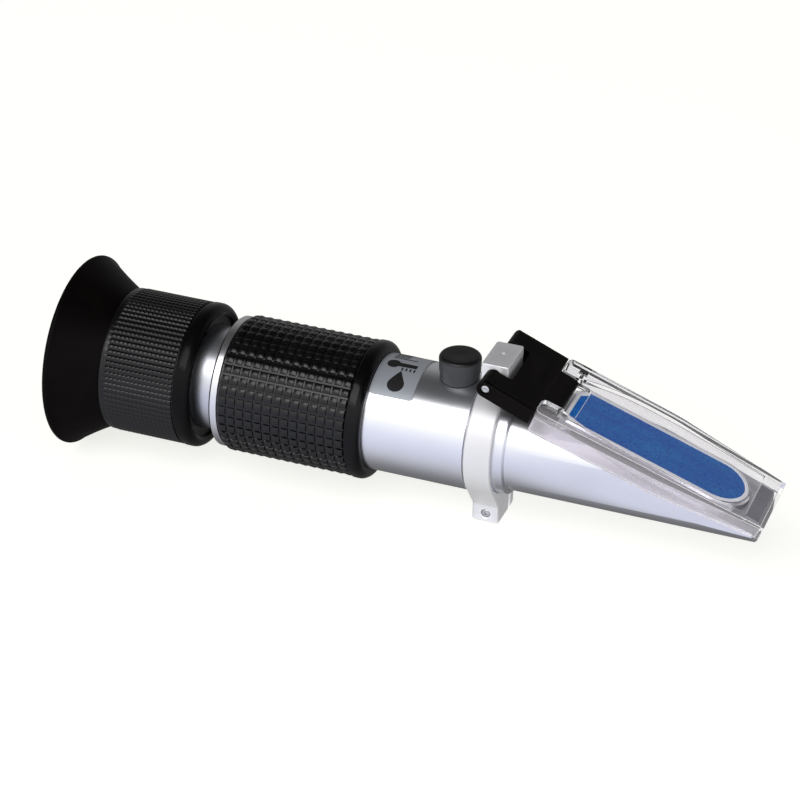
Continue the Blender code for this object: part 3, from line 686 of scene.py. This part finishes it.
def make_focus_ring():
    """The ribbed ring, with a smooth collar that turns in towards the eyepiece tube."""
    x0, x1 = ends("focus_ring")
    size, bore = radius("focus_ring") - 0.1, radius("eyepiece_tube") + 0.1
    ribs, rows = 80, 16
    rib_x0, rib_x1 = x0 + 1.3, x1 - FOCUS_COLLAR - 0.2
    depth, cross = 0.22, 0.1
    profile = [(x0, size - 0.75), *arc((x0 + 0.3, size - 0.4), 0.3, 180, 90, 4), (rib_x0 - 0.35, size - 0.1)]
    profile += relief_rows(rib_x0, rib_x1, rows, size, depth, cross, RIB)
    profile.append((rib_x1, relief(size, depth, cross, RIB, 0)))
    groove, groove_floor = x1 - 3.25, size - depth - 0.1
    collar, shoulder = 1.7, size - 1.5
    profile += [(rib_x1 + 0.02, groove_floor), (groove, groove_floor)]
    profile += arc((groove + 0.45, size - 0.3), 0.4, 180, 90, 4)
    profile += arc((x1 - collar, size + 0.1 - collar), collar, 90, 5, 9)
    profile += [(x1 - 0.35, size - 2.1), (x1 - 1.1, size - 2.35), (x1 - 1.3, bore + 0.2), (x1 - 1.2, bore)]
    profile += [(x0 + 3.5, bore), (x0 + 3.5, shoulder), (x0 + 0.1, shoulder)]
    ring = solid(turned(profile, angles=pitched(ribs, RIB)))
    dress(ring, "focus", "focus_ring", 24)


def make_eyepiece_tube():
    x0, x1 = ends("eyepiece_tube")
    size = radius("eyepiece_tube")
    bore, seat, step = size - 1.2, size - 2.2, x0 + 1.15
    profile = [(x0, seat), (x0, size), (x1, size), (x1, bore), (step, bore), (step, seat)]
    tube = solid(turned(fillet(profile, 0.12, 2)))
    dress(tube, "eyepiece_tube", "eyepiece_tube")


def make_lens(node, bulges):
    """A lens with a fine ground rim, in its CAD node's place. bulges says how far its two faces stand out."""
    x0, x1 = ends(node)
    size = radius(node)
    x0, x1 = x0 + bulges[0], x1 - bulges[1]
    dome, ground, gap = size - 1.2, 0.15, 0.02
    steps = 10
    front = [(x0 - bulges[0] * (1 - t**2), dome * t) for t in spread(0, 1, steps)]
    back = [(x1 + bulges[1] * (1 - t**2), dome * t) for t in spread(1, 0, steps)]
    rim = [(x0 + gap, size - ground), (x0 + ground, size), (x1 - ground, size), (x1, size - ground)]
    lens = solid(turned([*front, *rim, *back], CAP_SIDES))
    dress(lens, "lens", node, 40)


# ---- body


def make_main_tube():
    """The satin tube: a little thinner under the grip, with a hole for the calibration bush."""
    x0, x1 = ends("main_tube")
    x0, x1 = max(x0, ends("grip_retaining_ring")[0] + 0.1), x1 - 0.2
    size, bore = radius("main_tube"), radius("main_tube") - 1.0
    under_grip, step = size - 0.4, ends("grip_sleeve")[0] - 0.05
    profile = [(x0, bore), (x0, under_grip), (step, under_grip), (step, size), (x1, size), (x1, bore)]
    tube = solid(turned(fillet(profile, 0.15, 3)))
    hole = radius("calibration_bush") + 0.05
    combine(tube, solid(rod(8, 15, hole), upright_at(middle_x("calibration_bush"))))
    dress(tube, "aluminium", "main_tube")


def make_retaining_ring():
    x0, x1 = ends("grip_retaining_ring")
    size = radius("grip_retaining_ring")
    bore, front, back = size - 2.0, 0.45, 0.2  # its two outer corners are cut off by front and back
    profile = [(x0, bore), (x0, size - front), (x0 + front, size)]
    profile += [(x1 - back, size), (x1, size - back), (x1, bore)]
    ring = solid(turned(fillet(profile, 0.1, 2)))
    dress(ring, "bright_ring", "grip_retaining_ring")


def make_grip():
    """The rubber sleeve: rows of small blunt pyramids, and a smooth collar at the end."""
    x0, x1 = ends("grip_sleeve")
    lip, inner = radius("grip_sleeve"), radius("main_tube") + 0.05
    size, height, cross = lip - 0.15, 0.46, 0.42
    rows, columns = 14, 40
    stud_x0, stud_x1 = x0 + 0.25, x1 - GRIP_COLLAR - 0.05
    valley = size - height - 0.1
    profile = [(x0, inner), (x0, valley - 0.1), (x0 + 0.1, valley)]
    profile += relief_rows(stud_x0, stud_x1, rows, size, height, cross, STUD)
    profile.append((stud_x1, valley))
    profile += arc((stud_x1 + 0.5, lip - 0.4), 0.4, 180, 90, 4)
    profile += arc((x1 - 1.7, lip - 1.75), 1.75, 90, 8, 9)
    profile += [(x1 - 0.02, inner + 0.1), (x1 - 0.1, inner)]
    grip = solid(turned(profile, angles=pitched(columns, STUD)))
    dress(grip, "grip", "grip_sleeve", 22)


def wrapped(rows, low, high):
    """A sheet bent round the axis between two radii. A row is a distance from the top, and two ends in x."""
    sections = []
    for s, x0, x1 in rows:
        across, up = -math.sin(s / high), math.cos(s / high)
        corners = ((x0, low), (x0, high), (x1, high), (x1, low))
        sections.append([(x, size * across, size * up) for x, size in corners])
    return lofted(sections)


def drop_rows(x, s, size):
    """A drop whose point is towards the top of the tube."""
    rows = []
    tip = s - 2.1 * size
    touch = s - size / 2.1
    for place in spread(tip, s + size * 0.999, 28):
        if place < touch:
            half = (place - tip) / (touch - tip) * math.sqrt(size**2 - (touch - s) ** 2)
        else:
            half = math.sqrt(size**2 - (place - s) ** 2)
        rows.append((place, x - half - 0.03, x + half + 0.03))
    return rows


def gauge_rows(x, s, size, length):
    """A thermometer that lies along the tube, with its bulb towards the grip."""
    rows = []
    for place in spread(-size * 0.999, size * 0.999, 24):
        half = math.sqrt(size**2 - place**2)
        rows.append((s + place, x - half, x + max(half, length if abs(place) < size * 0.45 else 0)))
    return rows


def label_marks(x0, x1):
    """The marks' rows by name: a drop, a thermometer with four degrees, and a scale of nine ticks."""
    marks = {
        "label_drop": drop_rows((x0 + x1) / 2 + 0.3, 6.3, 1.7),
        "label_gauge": gauge_rows(x0 + 2.6, 0.7, 1.35, 5.0),
    }
    for i in range(4):
        x = x0 + 4.9 + 0.85 * i
        start, end = x - 0.17, x + 0.17
        marks[f"label_degree_{i + 1}"] = [(1.65, start, end), (2.5, start, end)]
    for i in range(9):
        s = -8.2 + 0.8 * i
        start = x0 + 1.6
        end = start + (5.2 if i % 4 == 0 else 3.2)
        marks[f"label_tick_{i + 1}"] = [(s - 0.14, start, end), (s + 0.14, start, end)]
    return marks


def make_label():
    """The grey band. Its marks stand in for the lettering of such an instrument."""
    x0, x1 = ends("label_band")
    base, top = radius("main_tube") + 0.04, radius("main_tube") + 0.2
    half = top * math.asin(min(1.0, radius("label_band") / top))
    corner = 0.6
    rows = []
    for s in spread(-half, half, 60):
        cut = max(0.0, corner - (half - abs(s)))
        trim = corner - math.sqrt(max(0.0, corner**2 - cut**2))
        rows.append((s, x0 + trim, x1 - trim))
    band = solid(wrapped(rows, base, top))
    dress(band, "label", "label_band")
    for name, mark in label_marks(x0, x1).items():
        ink = wrapped(mark, top + 0.005, top + 0.035)
        detail(name, ink, "ink", "barrel", "grey_label")


# ---- calibration


def make_calibration_cap():
    """The rubber cap: a round-edged head on a skirt that sits on the tube."""
    x = middle_x("calibration_cap")
    foot, top = heights("calibration_cap")
    size, bore = radius("calibration_cap"), 3.2
    waist, roll, wall = size - 0.3, 0.85, 1.6
    profile = [(foot - 1.0, bore), (foot - 1.0, waist), (foot + 1.4, waist), (foot + 2.0, size - 0.1)]
    profile += arc((top - roll, size - roll), roll, 90, 0, 6)
    profile += [(top - 0.12, 1.6), (top - 0.15, 0), (top - wall, 0), (top - wall, bore)]
    cap = solid(turned(profile, CAP_SIDES), upright_at(x))
    reach, saddle = 9, radius("main_tube") + 0.15
    combine(cap, solid(rod(x - reach, x + reach, saddle, HOUSING_SIDES)))
    dress(cap, "cap", "calibration_cap", 40)


def make_calibration_bush():
    low, high = heights("calibration_bush")
    size, bore, hole, seat = radius("calibration_bush"), 1.9, 1.3, low + 1.0
    profile = [(low, hole), (low, size), (high, size), (high, bore), (seat, bore), (seat, hole)]
    place = upright_at(middle_x("calibration_cap"))
    bush = solid(turned(fillet(profile, 0.12, 2), SCREW_SIDES), place)
    dress(bush, "brass", "calibration_bush")


def make_calibration_screw():
    """The slotted screw in the bush."""
    x = middle_x("calibration_cap")
    low, high = heights("calibration_screw")
    size, shaft, head = radius("calibration_screw"), 1.1, high - 1.5
    profile = [(low, 0), (low, shaft), (head, shaft), (head, size), (high, size), (high, 0)]
    outline = fillet(profile, 0.12, 2, only=(1, 3, 4))
    screw = solid(turned(outline, SCREW_SIDES), upright_at(x))
    slot = slab(box_outline(-4, 4, -0.3, 0.3), high - 0.8, high + 1)
    combine(screw, solid(slot, AXIS @ moved(x, 0)))
    dress(screw, "steel", "calibration_screw")


# ---- prism end


WINDOW_LENGTH, WINDOW_HALF_WIDTH = 37.4, radius("measuring_prism")
SHOULDER_DEPTH = 1.6


def window_outline(margin):
    """The prism's face, grown by margin: a square end with cut corners at the hinge, and a round end."""
    half = WINDOW_HALF_WIDTH + margin
    corner, steps = 1.6, 24
    end = arc((WINDOW_LENGTH - WINDOW_HALF_WIDTH, 0), half, -90, 90, steps)
    outline = [(-margin, -half + corner), (corner - margin, -half), *end]
    return outline + [(corner - margin, half), (-margin, half - corner)]


def make_housing():
    """The casting: a neck and a flange, a body cut on the slant, and a raised bezel round the prism."""
    x0, x1 = ends("prism_housing")
    neck = radius("prism_housing")
    neck_x0 = ends("main_tube")[1] + 0.2
    neck_x1 = neck_x0 + 7.75
    size, spigot, roll = 10.2, neck - 0.25, 0.35
    outer = [(x0, 0), (x0, spigot), (neck_x0, spigot), (neck_x0, neck)]
    outer += arc((neck_x1 - roll, neck - roll), roll, 90, 0, 3)
    outer += [(neck_x1, size + 0.45), (neck_x1 + 0.15, size + 0.15), (neck_x1 + 0.5, size)]
    outer += [(x1, size), (x1, 0)]
    housing = solid(turned(outer, HOUSING_SIDES))
    above = slab(box_outline(-60, 60, -15, 15), -SHOULDER_DEPTH, 30)
    combine(housing, solid(above, PRISM))
    start, end = WINDOW_X + 7.2, WINDOW_X + 43.2
    for side in (-1, 1):
        flank = [(start, 10.3 * side), (end, 8.0 * side), (end, 15 * side), (start, 15 * side)]
        combine(housing, solid(slab(flank, -12, 12)))
    combine(housing, solid(make_bezel(), PRISM), operation="UNION")
    pocket = slab(window_outline(0.82), -1.2, 2.0)
    combine(housing, solid(pocket, PRISM))
    dress(housing, "casting", "prism_housing", 28)


def make_bezel():
    """The raised frame round the prism. Its sides slope in towards a rounded crown."""
    levels = ((1.75, -5.0), (1.75, -SHOULDER_DEPTH - 0.2), (1.5, -0.5), (1.15, -0.08), (0.95, 0.0))
    return lofted([[(u, v, level) for u, v in window_outline(margin)] for margin, level in levels])


def make_prism():
    face = slab(window_outline(0.0), -1.1, -0.02, edge=0.12)
    dress(solid(face, PRISM), "prism", "measuring_prism", 40)


def make_seal():
    seal = solid(slab(window_outline(0.8), -SEAL_DEPTH, 0.05, edge=0.1), PRISM)
    combine(seal, solid(slab(window_outline(0.03), -3.0, 3.0), PRISM))
    dress(seal, "sealant", "prism_seal", 40)


def make_end_plate():
    outline = fillet(box_outline(39.7, 42.6, -6.2, 6.2), 0.35)
    plate = solid(slab(outline, -SHOULDER_DEPTH + 0.05, -0.5, edge=0.2), PRISM)
    dress(plate, "dark_grey", "prism_end_plate", 40)


def clamp_outline(size, bore, split, lug_z0, lug_z1, half):
    """The clamp from the front: a ring open at the bottom, whose sides run down into two ears."""
    tangent, round_off = 42.0, 0.9
    near_corner = [(-half, lug_z1), *arc((round_off - half, lug_z0 + round_off), round_off, 180, 270, 5)]
    near_corner.append((split[0], lug_z0))
    far_corner = [(split[1], lug_z0), *arc((half - round_off, lug_z0 + round_off), round_off, 270, 360, 5)]
    far_corner.append((half, lug_z1))
    outer = arc((0, 0), size, -tangent, 180 + tangent, 72)
    start = math.degrees(math.asin(split[1] / bore)) - 90
    end = math.degrees(math.asin(split[0] / bore)) - 90 + 360
    inner = arc((0, 0), bore, start, end, 72)
    return [*outer, *near_corner, *inner[::-1], *far_corner]


CLAMP_SCREW = AXIS @ moved(middle_x("clamp_screw"), sum(heights("clamp_screw")) / 2) @ ACROSS
HINGE = PIN @ ACROSS


def make_clamp():
    """The split ring, with the hinge block on top, a lug below, and holes for the pin and the screw."""
    x0, block_x1 = ends("clamp_ring")
    block_x0, lug_x1 = x0 + 0.7, -x0  # the lug's foot is centred on the origin
    z0, z1 = heights("clamp_ring")
    bore = radius("prism_housing") + 0.05
    outline = clamp_outline(radius("clamp_ring"), bore, (1.8, 2.8), z0, z0 + 4.1, 5.0)
    clamp = solid(slab(outline, x0, lug_x1, "x", edge=0.45, steps=4))
    top = fillet(box_outline(block_x0, block_x1, -4.9, 4.9), 0.6)
    combine(clamp, solid(slab(top, 11.6, z1, edge=0.3)), operation="UNION")
    combine(clamp, solid(rod(-9, 9, 0.88), HINGE))
    head, shaft = 1.2, 0.95
    countersink = [(-9, 0), (-9, head), (-5.0, head), (-4.75, shaft), (4.2, shaft), (4.2, 0)]
    combine(clamp, solid(turned(countersink, PIN_SIDES), CLAMP_SCREW))
    dimple = [(z1 - 0.4, 0), (z1 - 0.3, 0.35), (z1 + 0.02, 0.7), (z1 + 1, 0.7), (z1 + 1, 0)]
    combine(clamp, solid(turned(dimple, TINY_SIDES), upright_at((block_x0 + block_x1) / 2)))
    dress(clamp, "clamp", "clamp_ring", 28)


def make_clamp_screw():
    """A screw with a six-sided socket."""
    y0, y1 = widths("clamp_screw")
    size, edge, socket_size = 0.85, 0.12, 0.45
    profile = [(y0, 0), (y0, size - edge), (y0 + edge, size), (y1, size), (y1, 0)]
    screw = solid(turned(profile, PIN_SIDES), CLAMP_SCREW)
    combine(screw, solid(rod(y0 - 1, y0 + 0.7, socket_size, 6), CLAMP_SCREW))
    dress(screw, "steel", "clamp_screw")


def make_hinge_bushes():
    for node in ("hinge_bush_near", "hinge_bush_far"):
        y0, y1 = widths(node)
        bore, size = 0.88, 1.5
        profile = fillet([(y0, bore), (y0, size), (y1, size), (y1, bore)], 0.12, 2)
        bush = solid(turned(profile, PIN_SIDES), HINGE)
        dress(bush, "steel", node)


# ---- cover


def make_hinge_pin():
    """The pin, with slightly domed ends."""
    y0, y1 = widths("hinge_pin")
    dome = [(0.15, 0), (0.05, 0.35), (0, 0.5), (0.12, 0.8)]
    profile = [(y0 + x, size) for x, size in dome] + [(y1 - x, size) for x, size in reversed(dome)]
    pin = solid(turned(profile, PIN_SIDES), HINGE)
    dress(pin, "steel", "hinge_pin", 40)


def joined_cross_pin(grow):
    """The pin that ties the plate to the tongue, with a flat peg at each end. grow makes it a cutter."""
    half = widths("plate_cross_pin")[1]
    pin = solid(rod(-half, half, 0.35 + grow, TINY_SIDES), CROSS_PIN)
    outline = fillet(box_outline(-0.95 - grow, 0.95 + grow, -0.5 - grow, 0.35 + grow), 0.15, 3)
    for side in (-1, 1):
        peg = slab(outline, side * (half - 1.6 - grow), side * (half - 0.01 + grow), "x")
        combine(pin, solid(peg, CROSS_PIN), operation="UNION")
    return pin


def make_cross_pin():
    dress(joined_cross_pin(0.0), "black_plastic", "plate_cross_pin", 40)


def on_holder(u, w):
    """A point of the prism's frame, in the holder's frame."""
    c, s = math.cos(SLOPE), math.sin(SLOPE)
    x, z = WINDOW_X - PIN_X + u * c + w * s, WINDOW_Z - PIN_Z - u * s + w * c
    c, s = math.cos(HOLDER_SLOPE), math.sin(HOLDER_SLOPE)
    return (x * c - z * s, x * s + z * c)


HOLDER_TOP, HOLDER_FOOT = 1.6, -1.74  # the holder's two faces, above and below the hinge pin


def holder_tongue(start, half):
    """The holder's tongue: it thins out over the plate, and its end has round corners."""
    tip, back = on_holder(-1.5, 0.35), on_holder(-6.5, 0.35)
    side = [(start + 1.0, HOLDER_TOP), (14.7, HOLDER_TOP - 0.1), tip, back]
    tongue = solid(slab(side, -half, half, "y"), HOLDER)
    plan = fillet(box_outline(start, tip[0], -half, half), 1.5, 6, only=(1, 2))
    combine(tongue, solid(slab(plan, -12, 12), HOLDER), operation="INTERSECT")
    return tongue


def make_holder():
    """The black holder: a slab with round ends on the pin, and a tongue between the plate's ears."""
    half, knuckle, length = radius("plate_holder"), 1.75, 10.4
    tongue_half = 5.9
    start = math.degrees(math.asin(HOLDER_TOP / knuckle))
    outline = [*arc((0, 0), knuckle, start, 270, 28), (length, HOLDER_FOOT), (length, HOLDER_TOP)]
    holder = solid(slab(outline, -half, half, "y"), HOLDER)
    combine(holder, holder_tongue(length - 3.0, tongue_half), operation="UNION")
    notch = fillet(box_outline(-9, 3.45, -tongue_half, tongue_half), 0.8, 5, only=(1, 2))
    combine(holder, solid(slab(notch, -9, 9), HOLDER))
    for side in (-1, 1):
        ledge = [(u, side * v) for u, v in box_outline(-3.0, length + 1, half - 1.0, half + 2)]
        combine(holder, solid(slab(ledge, HOLDER_TOP - 0.22, 9), HOLDER))
    # the rounded edges get the lighter black_plastic_edge: a painted highlight along them
    coat(holder.data, "black_plastic", "black_plastic_edge")
    soften(holder, 0.25)
    combine(holder, solid(rod(-15, 15, 0.95), HINGE))
    combine(holder, joined_cross_pin(0.03))
    dress(holder, "black_plastic", "plate_holder", edge_finish="black_plastic_edge")


PLATE_START, PLATE_MIDDLE, PLATE_END = -5.7, 20.3, 44.0
PLATE_WALL, PLATE_GAP, PLATE_FLOOR, RIDGE, EAR = 0.8, 0.3, 1.3, 1.9, 4.7


def plate_half(u):
    """Half the cover plate's width at u."""
    if u < PLATE_MIDDLE:
        return 11.35 - 0.45 * (u - PLATE_START) / (PLATE_MIDDLE - PLATE_START)
    return 10.9 - 2.0 * (u - PLATE_MIDDLE) / (PLATE_END - PLATE_MIDDLE)


def plate_top(u):
    return 2.2 if u < 18.0 else 2.2 - 1.2 * (u - 18.0) / (PLATE_END - 18.0)


def plate_foot(u):
    return -2.9 + 1.0 * max(0.0, u - 22.0) / (PLATE_END - 22.0)


def ridge(u):
    """How wide the ridges along the plate's sides are: they grow out of its two ears."""
    t = min(1.0, max(0.0, (u + 1.0) / 15.0))
    return EAR + (RIDGE - EAR) * (1 - (1 - t) ** 2.2)


def plate_body(stations, shrink, low, high):
    """A solid through rectangles across the plate. shrink, low and high are numbers, or functions of u."""
    sections = []
    for u in stations:
        half = plate_half(u) - (shrink(u) if callable(shrink) else shrink)
        bottom = low(u) if callable(low) else low
        top = high(u) if callable(high) else high
        sections.append([(u, -half, bottom), (u, -half, top), (u, half, top), (u, half, bottom)])
    return lofted(sections)


def plate_floor(u):
    return min(PLATE_FLOOR, plate_top(u) - 0.25)


def plate_plan():
    """The plate from above: two ears with round corners, and the slot that the tongue reaches into."""
    slot_end, slot_half, beyond = 1.5, 6.1, 2.0
    ear_end = plate_half(PLATE_START)
    outline = [(PLATE_START, -ear_end), (PLATE_MIDDLE, -ear_end - 0.5), (PLATE_END + beyond, -ear_end)]
    outline += [(PLATE_END + beyond, ear_end), (PLATE_MIDDLE, ear_end + 0.5), (PLATE_START, ear_end)]
    for u, v in ((PLATE_START, 1), (slot_end, 1), (slot_end, -1), (PLATE_START, -1)):
        outline.append((u, v * slot_half))
    return fillet(outline, 1.5, 6, only=(0, 5, 6, 7, 8, 9))


def make_plate():
    """The clear plate: a floor over the prism, ridges along both sides, and skirts round the casting."""
    stations = [PLATE_START, 0.0, 18.0, PLATE_MIDDLE, 22.0, 33.0, PLATE_END]
    plate = solid(plate_body(stations, 0.0, plate_foot, plate_top), PRISM)
    inner = [PLATE_START - 3, 0.0, PLATE_MIDDLE, 33.0, PLATE_END - PLATE_WALL]
    combine(plate, solid(plate_body(inner, PLATE_WALL, -8.0, PLATE_GAP), PRISM))
    dip = [-1.0, 0.5, 2.0, 3.5, 5.0, 7.0, 9.0, 11.5, 14.0, PLATE_MIDDLE, 33.0, 39.6]
    combine(plate, solid(plate_body(dip, ridge, plate_floor, 8.0), PRISM))
    combine(plate, solid(slab(plate_plan(), -9, 9), PRISM), operation="INTERSECT")
    coat(plate.data, "clear", "clear_edge")
    soften(plate, 0.32)
    combine(plate, joined_cross_pin(0.03))
    dress(plate, "clear", "daylight_plate", edge_finish="clear_edge")


# ---- pieces that keep their CAD mesh


BLACKENED = ("lens_spacer", "lens_retaining_ring", "reticle_holder", "reticle_retaining_ring", "light_baffle")
KEPT = {
    "black_anodised": (*BLACKENED, "objective_cell", "objective_retainer"),
    "lens": ("reticle_disc",),
    "brass": ("bimetal_strip", "bimetal_foot"),
    "steel": ("bimetal_screw",),
    "seal": ("damping_ring", "housing_seal_ring"),
}


def finish_kept_nodes():
    for finish, nodes in KEPT.items():
        for node in nodes:
            coat(frame["nodes"][node].data, finish)


# ---- stage


# degrees round the instrument from straight ahead, up and over; how bright it is there, and how cool
STUDIO = (
    (-180, 0.34, 0), (-156, 0.22, 0), (-140, 0.2, 0), (-124, 0.15, 0),
    (-100, 0.2, 0.05), (-86, 0.28, 0.05), (-72, 0.42, 0.06), (-56, 0.62, 0.1),
    (-40, 0.74, 0.14), (-24, 0.83, 0.14), (-8, 0.92, 0.12), (8, 1.08, 0.03),
    (24, 1.25, 0), (44, 1.15, 0), (56, 0.62, 0.04), (66, 0.26, 0.04),
    (76, 0.16, 0.04), (86, 0.08, 0.03), (118, 0.07, 0), (136, 0.16, 0),
    (152, 0.29, 0), (180, 0.32, 0),
)


def world_angle(nodes, links):
    """The angle that a direction makes round the instrument, from 0 to 1, with straight ahead at a half."""
    coords = nodes.new("ShaderNodeTexCoord")
    split = nodes.new("ShaderNodeSeparateXYZ")
    links.new(coords.outputs["Generated"], split.inputs["Vector"])
    ahead = nodes.new("ShaderNodeMath")
    ahead.operation = "MULTIPLY"
    ahead.inputs[1].default_value = -1.0
    links.new(split.outputs["Y"], ahead.inputs[0])
    angle = nodes.new("ShaderNodeMath")
    angle.operation = "ARCTAN2"
    links.new(split.outputs["Z"], angle.inputs[0])
    links.new(ahead.outputs[0], angle.inputs[1])
    share = nodes.new("ShaderNodeMapRange")
    share.inputs["From Min"].default_value = -math.pi
    share.inputs["From Max"].default_value = math.pi
    links.new(angle.outputs[0], share.inputs["Value"])
    return share.outputs["Result"]


def make_studio():
    """A soft room: bright ahead, and dark overhead and below."""
    world = bpy.data.worlds.new("studio")
    bpy.context.scene.world = world
    world.use_nodes = True
    nodes, links = world.node_tree.nodes, world.node_tree.links
    ramp = nodes.new("ShaderNodeValToRGB")
    links.new(world_angle(nodes, links), ramp.inputs["Fac"])
    stops = ramp.color_ramp.elements
    stops.remove(stops[1])
    for i, (degrees, level, cool) in enumerate(STUDIO):
        place = (degrees + 180) / 360
        stop = stops[0] if i == 0 else stops.new(place)
        stop.position = place
        stop.color = (level * (1 - cool * 0.3), level * (1 - cool * 0.15), level * (1 + cool), 1.0)
    links.new(ramp.outputs["Color"], nodes["Background"].inputs["Color"])


def make_floor():
    """A pale floor just under the object, bright enough to look white."""
    bm = bmesh.new()
    reach, gap = 3.0, 0.0002
    bm.faces.new([bm.verts.new((x, y, 0)) for x, y in box_outline(-reach, reach, -reach, reach)])
    mesh = bpy.data.meshes.new("floor")
    bm.to_mesh(mesh)
    bm.free()
    floor = bpy.data.objects.new("floor", mesh)
    floor.location = (0, 0, cad_bounds[0].z - gap)
    bpy.context.scene.collection.objects.link(floor)
    pale = Shader("floor", (0.45, 0.45, 0.44), 0.9)
    pale.tint(pale.noise(3, 2.0), (0.44, 0.44, 0.43))
    pale.set(Emission_Color=(1.0, 1.0, 0.955, 1.0), Emission_Strength=0.78)
    floor.data.materials.append(pale.material)
    floor.visible_glossy = False


def make_key_light():
    """A soft box in front of the object and above it."""
    place, aim = Vector((-0.1, -0.6, 0.7)), Vector((0, 0, 0.02))
    light = bpy.data.lights.new("key", "AREA")
    light.shape = "RECTANGLE"
    light.size, light.size_y = 0.8, 0.5
    light.energy = 3
    obj = bpy.data.objects.new("key", light)
    obj.location = place
    obj.rotation_euler = (aim - place).to_track_quat("-Z", "Y").to_euler()
    bpy.context.scene.collection.objects.link(obj)


def make_camera():
    """The viewing angle: a little from the right and from above, through a long lens."""
    azimuth, elevation, roll = (math.radians(a) for a in (19.94, 30.42, 1.34))
    level = math.cos(elevation)
    back = Vector((math.sin(azimuth) * level, -math.cos(azimuth) * level, math.sin(elevation)))
    target, distance = Vector((-0.0196, -0.0031, 0.0235)), 0.5805
    camera = bpy.data.objects.new("camera", bpy.data.cameras.new("camera"))
    camera.data.sensor_width, camera.data.lens = 36.0, 129.5
    camera.data.clip_start = 0.01
    turn = (-back).to_track_quat("-Z", "Y").to_matrix().to_4x4() @ Matrix.Rotation(roll, 4, "Z")
    camera.matrix_world = Matrix.Translation(target + back * distance) @ turn
    bpy.context.scene.collection.objects.link(camera)
    bpy.context.scene.camera = camera


def main():
    make_eyecup()
    make_focus_ring()
    make_eyepiece_tube()
    make_lens("eye_lens", (1.0, 1.6))
    make_lens("field_lens", (1.2, 0.8))
    make_lens("objective_lens", (0.6, 0.9))
    make_main_tube()
    make_retaining_ring()
    make_grip()
    make_label()
    make_calibration_cap()
    make_calibration_bush()
    make_calibration_screw()
    make_housing()
    make_prism()
    make_seal()
    make_end_plate()
    make_clamp()
    make_clamp_screw()
    make_hinge_bushes()
    make_hinge_pin()
    make_cross_pin()
    make_holder()
    make_plate()
    finish_kept_nodes()
    make_studio()
    make_floor()
    make_key_light()
    make_camera()
    bpy.context.scene.view_settings.view_transform = "Standard"


main()
